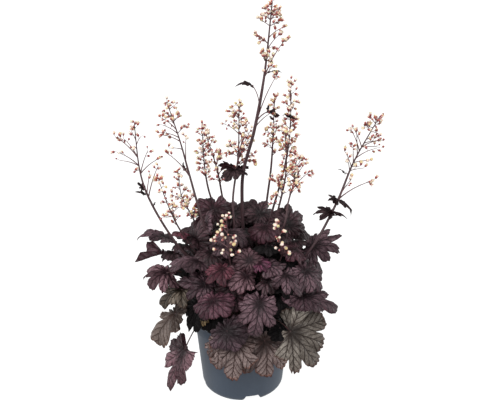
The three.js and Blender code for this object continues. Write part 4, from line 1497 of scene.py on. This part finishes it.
@dataclass
class FlowerStems:
    """The flower stems, each with its side branches and stem leaves, and a piece of florets for each.

    Attributes:
        finishes: the materials.
        plans: every stem's plan.
        steps: straight steps along a stem.
        stoutness: scales the plans' radii.
        branch_radius: of a short side branch, on average.
        stalklet: length of a floret's own stalk.
        stalklet_radius: its radius.
        leaf_stalk_radius: radius of a stem leaf's stalk.
        tight: share of the flowers past the bud that are small and still shut.
    """

    finishes: Finishes
    plans: tuple[StemPlan, ...] = field(default_factory=stem_rows)
    steps: int = 60
    stoutness: float = 1.36
    branch_radius: float = 0.62
    stalklet: float = 4.4
    stalklet_radius: float = 0.34
    leaf_stalk_radius: float = 0.75
    tight: float = 0.26

    LENGTHS_VARY = (0.75, 1.15)  # of a stem's own branches
    SWERVE = 16  # degrees by which they may miss the golden turn
    RISES = (30, 55)  # their degrees above level
    PER_FLORET = 3.2  # their length for each floret
    SIZES_VARY = (0.86, 1.28)  # of flowers

    def branches(self, plan: StemPlan, path: Array, rng: np.random.Generator) -> tuple[Array, Array]:
        """The side branches: each leaves the stem upwards and bends outwards a little.

        Its own branches stand the golden turn apart, and their lengths fall from the spread at the lowest
        to 0.4 of it at the top. The stem's last stretch counts as one more branch, for its florets.

        Args:
            plan: the stem's plan.
            path: its centreline.
            rng: the stem's own random numbers.

        Returns:
            The branches' points, (k, 7, 3), and how many florets each carries.
        """
        i = np.arange(plan.branches)
        share = plan.flowering + (0.98 - plan.flowering) * (i / max(1, plan.branches - 1)) ** 0.95
        long = plan.spread * (1 - 0.6 * i / max(1, plan.branches - 1))
        long = long * rng.uniform(*self.LENGTHS_VARY, len(i))
        heading = plan.azimuth + i * GOLDEN_TURN + rng.uniform(-self.SWERVE, self.SWERVE, len(i))
        reach = long[:, None] * direction(heading, rng.uniform(*self.RISES, len(i)))
        count = np.clip(np.round(long / self.PER_FLORET), 2, 5)
        if plan.boughs:
            rows = np.array(plan.boughs)
            share, reach = np.append(share, rows[:, 0]), np.concatenate([reach, rows[:, 1:4]])
            count = np.append(count, rows[:, 4])
        start = path[np.round(share * self.steps).astype(int)]
        far = np.linalg.norm(reach, axis=1, keepdims=True)
        middle = start + reach * np.array([0.4, 0.4, 0.52]) + far * np.array([0, 0, 0.09])
        curves = bezier(start, middle, start + reach, 6)
        tip = np.stack([np.interp(np.linspace(0.955, 1, 7), np.linspace(0, 1, self.steps + 1), path[:, k])
                        for k in range(3)], -1)
        return np.concatenate([curves, tip[None]]), np.append(count, 5).astype(int)

    def stalklets(self, branches: Array, count: Array, rng: np.random.Generator) -> tuple[Array, Array]:
        """Short stalks along each branch's outer part, one at its end and the rest spread behind it.

        Args:
            branches: the branches' points.
            count: how many each carries.
            rng: the stem's own random numbers.

        Returns:
            The stalks' points, (m, 4, 3), and the way each one ends.
        """
        owner = np.repeat(np.arange(len(count)), count)
        nth = np.arange(len(owner)) - np.repeat(np.cumsum(count) - count, count)
        far = np.linalg.norm(branches[owner, -1] - branches[owner, 0], axis=1)
        cluster = np.clip(11 / np.maximum(far, 1), 0.12, 0.5)
        where = 1 - cluster * nth / np.maximum(1, count[owner] - 1) * rng.uniform(0.8, 1.5, len(owner))
        spot = np.clip(where, 0, 1) * (branches.shape[1] - 1)
        low = np.minimum(spot.astype(int), branches.shape[1] - 2)
        step = branches[owner, low + 1] - branches[owner, low]
        start = branches[owner, low] + (spot - low)[:, None] * step
        way = unit(unit(step) + 1.15 * unit(rng.normal(size=step.shape)) + np.array([0, 0, 0.25]))
        size = self.stalklet * rng.uniform(0.6, 1.35, (len(owner), 1))
        bend = start + 0.5 * size * unit(way + np.array([0, 0, 0.6]))
        return bezier(start, bend, start + size * way, 3), way

    def small_leaves(self, plan: StemPlan, path: Array, seed: int) -> list[Patch]:
        """A stem's own leaves, each on a short stalk that bends outwards.

        Args:
            plan: the stem's plan.
            path: its centreline.
            seed: the first leaf's seed.

        Returns:
            A blade and a stalk for each leaf.
        """
        patches = []
        for order, row in enumerate(plan.leaves):
            foot = path[round(row.share * self.steps)]
            at = foot + row.stalk * direction(row.heading, row.rise)
            leaf = Leaf(tuple(at), row.heading, row.pitch, row.length, Leafage.UMBER, row.form,
                        droop=row.droop, cup=-0.2, ruffle=0.8, tilt=row.tilt, seed=seed + order)
            bend = foot + 0.6 * row.stalk * direction(row.heading, min(88, row.rise + 20))
            patches += [leaf.surface(1, 0.7), tubes(bezier(foot, bend, at, 6), self.leaf_stalk_radius, 6, 0,
                                                    {"reach": np.ones(1)})]
        return patches

    def florets(self, plan: StemPlan, ends: Array, ways: Array, rng: np.random.Generator) -> list[Patch]:
        """Florets, buds and small shut flowers, one at the end of each stalklet.

        Args:
            plan: the stem's plan.
            ends: where the stalklets end, (m, 3).
            ways: the directions they end in.
            rng: the stem's own random numbers.

        Returns:
            A patch for each kind of flower that the stem has.
        """
        facing = unit(ways + 0.45 * rng.normal(size=ways.shape))
        draw = rng.uniform(size=len(ways))
        closed = draw < plan.closed
        tight = ~closed & (draw < plan.closed + self.tight * (1 - plan.closed))
        flowers = []
        for shape, chosen in ((floret_shape(), ~closed & ~tight), (bud_shape(), closed),
                              (bud_shape(size=0.66, ripeness=0.42), tight)):
            if chosen.any():
                sizes = rng.uniform(*self.SIZES_VARY, chosen.sum())
                tones = rng.uniform(0, 1, chosen.sum()) ** 1.6
                flowers.append(copies(shape, ends[chosen], turned_to(facing[chosen]), sizes, tones))
        return flowers

    def build(self) -> None:
        """Makes each stem, which thins upwards and swells at its foot, and its florets."""
        for number, plan in enumerate(self.plans, 1):
            rng = np.random.default_rng(899 + number)
            root = crown_point(plan.azimuth, plan.ring, STEM_RADIUS)
            path = smooth_route([root, *plan.route], self.steps)
            t = np.linspace(0, 1, self.steps + 1)
            radius = self.stoutness * plan.stout * (1.0 - 0.36 * t ** 2) * (1 + 0.35 * np.exp(-t / 0.02))
            radius = radius * np.interp(t, [0.7, 0.86, 1.0], [1.0, 0.68, 0.5])
            branches, count = self.branches(plan, path, rng)
            span = np.linalg.norm(branches[:-1, -1] - branches[:-1, 0], axis=1, keepdims=True)
            thin = np.linspace(1.3, 0.55, 7)[None] * self.branch_radius * np.clip(0.9 + span / 90, 1, 1.55)
            stalks, ways = self.stalklets(branches, count, rng)
            patches = [tubes(path, radius, 9, 0, {"reach": 0.55 * t[None] ** 2}),
                       tubes(branches[:-1], thin, 5, 0, {"reach": np.ones(1)}),
                       tubes(stalks, self.stalklet_radius, 4, 0, {"reach": np.ones(1)})]
            patches += self.small_leaves(plan, path, 43 + 17 * number)
            materials = [self.finishes.stem, self.finishes.leaf[Leafage.UMBER]]
            node = f"flower_stem_{number:02d}"
            enter(make_piece(node + "_stalk", patches, materials), "flower_stem", node)
            flowers = self.florets(plan, stalks[:, -1], ways, rng)
            piece = make_piece(f"florets_{number:02d}", flowers, [self.finishes.floret])
            enter(piece, "flower_stem", node)


# ---------------- pot, soil and crown
def notch_blocks(grow: float) -> bpy.types.Object:
    """The drain notches as solid blocks: a trapezium carried outwards from its back wall through the foot.

    Args:
        grow: how much larger than the notches they are, all round.

    Returns:
        One piece with every block in it.
    """
    wide, top = NOTCH_WIDTH / 2 + grow, NOTCH_HEIGHT + grow
    ring = np.array([[-wide, NOTCH_LOWEST], [wide, NOTCH_LOWEST], [wide - NOTCH_TAPER, top],
                     [NOTCH_TAPER - wide, top]])
    quads = np.array([[3, 2, 1, 0], [4, 5, 6, 7], [1, 5, 4, 0], [2, 6, 5, 1], [3, 7, 6, 2], [0, 4, 7, 3]])
    blocks = []
    for i in range(NOTCHES):
        a = math.radians(NOTCH_TURN + i * 360 / NOTCHES)
        out, side, up = np.array([[math.cos(a), math.sin(a), 0], [-math.sin(a), math.cos(a), 0], [0, 0, 1]])
        face = ring[:, :1] * side + ring[:, 1:] * up
        points = np.concatenate([face + (NOTCH_INNER - grow) * out, face + NOTCH_OUTER * out])
        blocks.append(Patch(points, quads, np.zeros((0, 3), int)))
    return make_piece("notch_blocks", blocks, [], smooth=False)


def join(piece: bpy.types.Object, other: bpy.types.Object, how: str) -> None:
    """Joins another piece's solid to a piece and drops the other piece.

    Args:
        piece: the piece that changes.
        other: the solid it is joined with.
        how: UNION adds it, DIFFERENCE takes it away and INTERSECT keeps what both share.
    """
    step = piece.modifiers.new("join", "BOOLEAN")
    step.object, step.solver, step.operation = other, "EXACT", how
    bpy.context.view_layer.objects.active = piece
    bpy.ops.object.modifier_apply(modifier=step.name)
    bpy.data.objects.remove(other)


@dataclass
class NurseryPot:
    """The pot: a thin tapered wall, a rolled rim collar, and drain notches round the base."""

    finishes: Finishes
    segments: int = 168

    FOOT_POINTS = 18  # profile points from the underside's middle to above the notches
    SHARP = 38.0  # degrees between two faces from which their edge stays sharp

    def profile(self) -> list[tuple[float, float]]:
        """Outside from the middle of the underside up to the rim, then the inside down again.

        Returns:
            [radius, height] at each point.
        """
        flat, under = BASE_RADIUS - BASE_ROUNDING, POT_HEIGHT - COLLAR_HEIGHT
        turn = np.radians(np.arange(0, 91, 10))
        outer = [(0.0, 0.0)] + [(r, 0.0) for r in (20, 40, 55)]
        outer += list(zip(flat + BASE_ROUNDING * np.sin(turn), BASE_ROUNDING * (1 - np.cos(turn))))
        wall = np.linspace(0, 1, 14)[1:]
        outer += list(zip(BASE_RADIUS + (NECK_RADIUS - BASE_RADIUS) * wall,
                          BASE_ROUNDING + (under - BASE_ROUNDING) * wall))
        outer += [(NECK_RADIUS + 0.6, under + 0.1)]
        outer += [(RIM_RADIUS - less, under + up) for less, up in ((1.6, 0.3), (0.5, 0.8), (0.0, 1.8))]
        outer += [(RIM_RADIUS - less, POT_HEIGHT - down) for less, down in (
            (0.25, 7.0), (0.0, 4.2), (0.0, 1.4), (0.4, 0.4), (1.0, 0.0))]
        inner_round = BASE_ROUNDING - POT_WALL
        inner = [(RIM_RADIUS - POT_WALL, POT_HEIGHT - 0.3), (RIM_RADIUS - POT_WALL - 0.1, POT_HEIGHT - 1.5),
                 (RIM_RADIUS - POT_WALL - 0.3, under + POT_WALL + 1.4),
                 (NECK_RADIUS - POT_WALL + 1.0, under + 1.2), (NECK_RADIUS - POT_WALL, under - 1.0)]
        inner += [(BASE_RADIUS - POT_WALL + (NECK_RADIUS - BASE_RADIUS) * w,
                   POT_FLOOR + inner_round + (under - BASE_ROUNDING) * w - 2 * w) for w in wall[::-1][1:]]
        inner += list(zip(flat + inner_round * np.sin(turn[::-1]),
                          POT_FLOOR + inner_round * (1 - np.cos(turn[::-1]))))
        return outer + inner + [(30.0, POT_FLOOR), (0.0, POT_FLOOR)]

    def build(self) -> None:
        """Turns the wall, lines each notch with a wall of its own and cuts the notches out of the foot."""
        profile, inset = self.profile(), POT_WALL / 2
        piece = make_piece("nursery_pot", [revolve(np.array(profile), self.segments)], [self.finishes.pot])
        core = [(max(0.0, r - inset), max(z, inset)) for r, z in profile[:self.FOOT_POINTS]]
        core.append((0.0, core[-1][1]))
        linings = notch_blocks(POT_WALL)
        join(linings, make_piece("foot_core", [revolve(np.array(core), self.segments)], []), "INTERSECT")
        join(piece, linings, "UNION")
        join(piece, notch_blocks(0.0), "DIFFERENCE")
        piece.data.set_sharp_from_angle(angle=math.radians(self.SHARP))
        enter(piece, "pot", "pot")


def value_noise(x: Array, y: Array, seed: int) -> Array:
    """Smooth uneven ground: six sines of unequal direction and wavelength, summed.

    Args:
        x: where it is read, in millimetres.
        y: the same, along the other axis.
        seed: picks the sines.

    Returns:
        A height at each point, about -1 to 1.
    """
    rng = np.random.default_rng(seed)
    total = np.zeros_like(x)
    for _ in range(6):
        angle, length, phase = rng.uniform(0, 6.28), rng.uniform(3.5, 16), rng.uniform(0, 6.28)
        along = x * math.cos(angle) + y * math.sin(angle)
        total += np.sin(along * 2 * math.pi / length + phase) * length / 16
    return total / 4


@dataclass
class PottingSoil:
    """The soil: an uneven crumbly top and plain sides inside the pot, with loose chips of bark on it."""

    finishes: Finishes
    segments: int = 110
    chips: int = 380

    SLOPE_FROM = 50.0  # reach where the top starts to fall towards the wall
    SLOPE = 1.5  # how far it has fallen there
    OPEN_FROM = 47.0  # reach outside the crown where chips lie
    LUMPS = 0.9  # height of the top's lumps
    SUNK = 0.4  # how deep a chip lies in the top
    CHIP = ((0, -0.45), (1.2, -0.35), (1.5, 0.05), (1.1, 0.42), (0, 0.5))  # its half outline
    CHIP_STRETCH = 1.9  # its length against its width
    CHIP_SIZES = (0.5, 1.25)

    def build(self) -> None:
        """The top's height is the profile's plus value noise; chips are low six-sided flakes."""
        side = 2 * GAP + POT_WALL
        flat = BASE_RADIUS - BASE_ROUNDING
        rim = NECK_RADIUS - side - 2
        low = [(0.0, POT_FLOOR + GAP), (flat - 1, POT_FLOOR + GAP), (flat + 8, POT_FLOOR + 4), (75.0, 18.0),
               (NECK_RADIUS - side, POT_HEIGHT - COLLAR_HEIGHT - 1.5), (rim, SOIL_TOP - self.SLOPE)]
        run = rim - self.SLOPE_FROM
        top = [(r, SOIL_TOP - self.SLOPE * max(0.0, (r - self.SLOPE_FROM) / run))
               for r in np.linspace(rim - 2, 36, 20)]
        patch = revolve(np.array(low + top + [(0.0, SOIL_TOP)]), self.segments)
        x, y, z = patch.points.T
        r = np.hypot(x, y)
        bumpy = (z > SOIL_TOP - 4) & (r > 46) & (r < rim - 0.5)
        patch.points[:, 2] += np.where(bumpy, self.LUMPS * value_noise(x, y, 5) - 0.2, 0)
        rng = np.random.default_rng(77)
        reach = np.sqrt(rng.uniform(self.OPEN_FROM ** 2, (rim - 3) ** 2, self.chips))
        turn = rng.uniform(0, 2 * math.pi, self.chips)
        places = np.stack([reach * np.cos(turn), reach * np.sin(turn),
                           np.full(self.chips, SOIL_TOP - self.SUNK)], -1)
        places[:, 2] -= self.SLOPE * np.clip((reach - self.SLOPE_FROM) / run, 0, 1)
        chip = revolve(np.array(self.CHIP), 6)
        chip.points[:, 0] *= self.CHIP_STRETCH
        ways = unit(np.array([0, 0, 1]) + 0.35 * rng.normal(size=(self.chips, 3)))
        one, two, up = np.moveaxis(turned_to(ways), -1, 0)
        spin = rng.uniform(0, 2 * math.pi, self.chips)
        cos, sin = np.cos(spin)[:, None], np.sin(spin)[:, None]
        turned = np.stack([cos * one + sin * two, cos * two - sin * one, up], -1)
        sizes = rng.uniform(*self.CHIP_SIZES, self.chips)
        loose = copies(chip, places, turned, sizes, rng.uniform(0, 1, self.chips))
        loose.material = 1
        piece = make_piece("soil", [patch, loose], [self.finishes.soil, self.finishes.crown])
        join(piece, notch_blocks(POT_WALL + GAP), "DIFFERENCE")
        enter(piece, "soil", "potting_soil")


@dataclass
class Crown:
    """The rootstock: a knobbly dome set with the worn bases of old leaf stalks."""

    finishes: Finishes
    segments: int = 120
    bases: int = 70

    KNOBS = 0.8  # height of the dome's knobs
    BASES_FROM = 6.0  # reach between which the bases stand
    BASES_TO = 41.0
    BASE_LENGTHS = (2.2, 5.0)
    BASE_RADII = (0.9, 1.7)
    BLUNT = (1.2, 1.1, 1.0, 0.95, 0.6)  # scales a base's radius from its foot to its end

    def build(self) -> None:
        """The dome's points move along its slope by value noise; the bases are short blunt rods."""
        reaches = np.linspace(CROWN_RADIUS - 0.6, 2, 26)
        profile = [(0.0, SOIL_TOP + GAP), (CROWN_RADIUS - 6, SOIL_TOP + GAP),
                   (CROWN_RADIUS - 0.2, SOIL_TOP + 1.2)]
        profile += [(r, crown_height(r) - 0.5) for r in reaches] + [(0.0, CROWN_TOP - 0.5)]
        patch = revolve(np.array(profile), self.segments)
        x, y, z = patch.points.T
        patch.points[:, 2] += np.where(z > SOIL_TOP + 2, self.KNOBS * value_noise(x, y, 9) - 0.6, 0)
        rng = np.random.default_rng(31)
        reach = np.sqrt(rng.uniform(self.BASES_FROM ** 2, self.BASES_TO ** 2, self.bases))
        azimuth = rng.uniform(0, 360, self.bases)
        root = np.stack([crown_point(a, r, 0) for a, r in zip(azimuth, reach)])
        root[:, 2] -= 1.6
        lean = direction(azimuth, 78 - reach * 0.6)
        size = rng.uniform(*self.BASE_LENGTHS, self.bases)
        path = root[:, None] + np.linspace(0, 1, 5)[None, :, None] * (lean * size[:, None])[:, None]
        width = rng.uniform(*self.BASE_RADII, self.bases)[:, None] * np.array(self.BLUNT)
        patches = [patch, tubes(path, width, 7, 1, {"reach": np.zeros(1)})]
        piece = make_piece("rootstock", patches, [self.finishes.crown, self.finishes.stalk])
        enter(piece, "crown", "crown")


# ---------------- studio
@dataclass(frozen=True)
class Studio:
    """A plain pale floor, soft light from above and the front, and the camera.

    Attributes:
        eye: where the camera stands, in metres.
        tilt: how far it looks down.
        lens: focal length on a 36 mm wide sensor.
        floor_half: half the floor's side, in metres.
        sky: strength of the even white light from all round.
        suns: each light's name, strength, softness, height and azimuth.
    """

    eye: tuple[float, float, float] = (0.014, -1.172, 0.795)
    tilt: float = 19.8
    lens: float = 50.4
    floor_half: float = 40.0
    sky: float = 0.4
    suns: tuple[tuple[str, float, float, float, float], ...] = (
        ("key light", 2.3, 40, 42, -24), ("front fill", 0.8, 60, 14, 16),
        ("left edge", 1.4, 50, 10, -104), ("right edge", 1.9, 50, 10, 104))

    def build(self) -> None:
        """Makes the camera, the floor, the lights and the world."""
        scene = bpy.context.scene
        camera = bpy.data.objects.new("camera", bpy.data.cameras.new("camera"))
        camera.data.lens, camera.data.sensor_width = self.lens, 36.0
        camera.data.clip_end = 200.0
        camera.location = self.eye
        camera.rotation_euler = (math.radians(90 - self.tilt), 0.0, 0.0)
        scene.collection.objects.link(camera)
        scene.camera = camera
        paper = Recipe("pale paper floor").finish({
            "Base Color": "#828281", "Roughness": 0.9, "Specular IOR Level": 0.1,
            "Emission Color": "#ffffff", "Emission Strength": 0.93})
        corners = self.floor_half / MM * np.array([[-1, -1, 0], [1, -1, 0], [1, 1, 0], [-1, 1, 0]])
        sheet = Patch(corners, np.array([[0, 1, 2, 3]]), np.zeros((0, 3), int))
        floor = make_piece("floor", [sheet], [paper])
        floor.visible_diffuse = floor.visible_glossy = False
        for sun in self.suns:
            self.sun(*sun)
        world = bpy.data.worlds.new("soft white room")
        world.use_nodes = True
        tree = world.node_tree
        tree.nodes.clear()
        sky = add(tree, "ShaderNodeBackground", None, {0: "#ffffff", 1: self.sky})
        add(tree, "ShaderNodeOutputWorld", None, {0: sky.outputs[0]})
        scene.world = world
        view = scene.view_settings
        view.view_transform, view.look, view.exposure = "Standard", "None", 0.0

    def sun(self, name: str, strength: float, softness: float, height: float, azimuth: float) -> None:
        """A wide soft light from a direction.

        Args:
            name: the light's name.
            strength: its power on a surface that faces it.
            softness: how many degrees wide it is.
            height: degrees above level that it comes from.
            azimuth: degrees round that it comes from.
        """
        light = bpy.data.lights.new(name, "SUN")
        light.energy, light.angle = strength, math.radians(softness)
        lamp = bpy.data.objects.new(name, light)
        towards = Vector(direction(azimuth, height))
        lamp.rotation_euler = towards.to_track_quat("Z", "Y").to_euler()
        bpy.context.scene.collection.objects.link(lamp)


def main() -> None:
    """Builds the studio and the plant."""
    logging.basicConfig(level=logging.INFO, format="%(message)s")
    Studio().build()
    finishes = Finishes()
    NurseryPot(finishes).build()
    PottingSoil(finishes).build()
    Crown(finishes).build()
    Foliage(finishes).build()
    BackShoots(finishes).build()
    FlowerStems(finishes).build()
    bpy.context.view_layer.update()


if __name__ == "__main__":
    main()
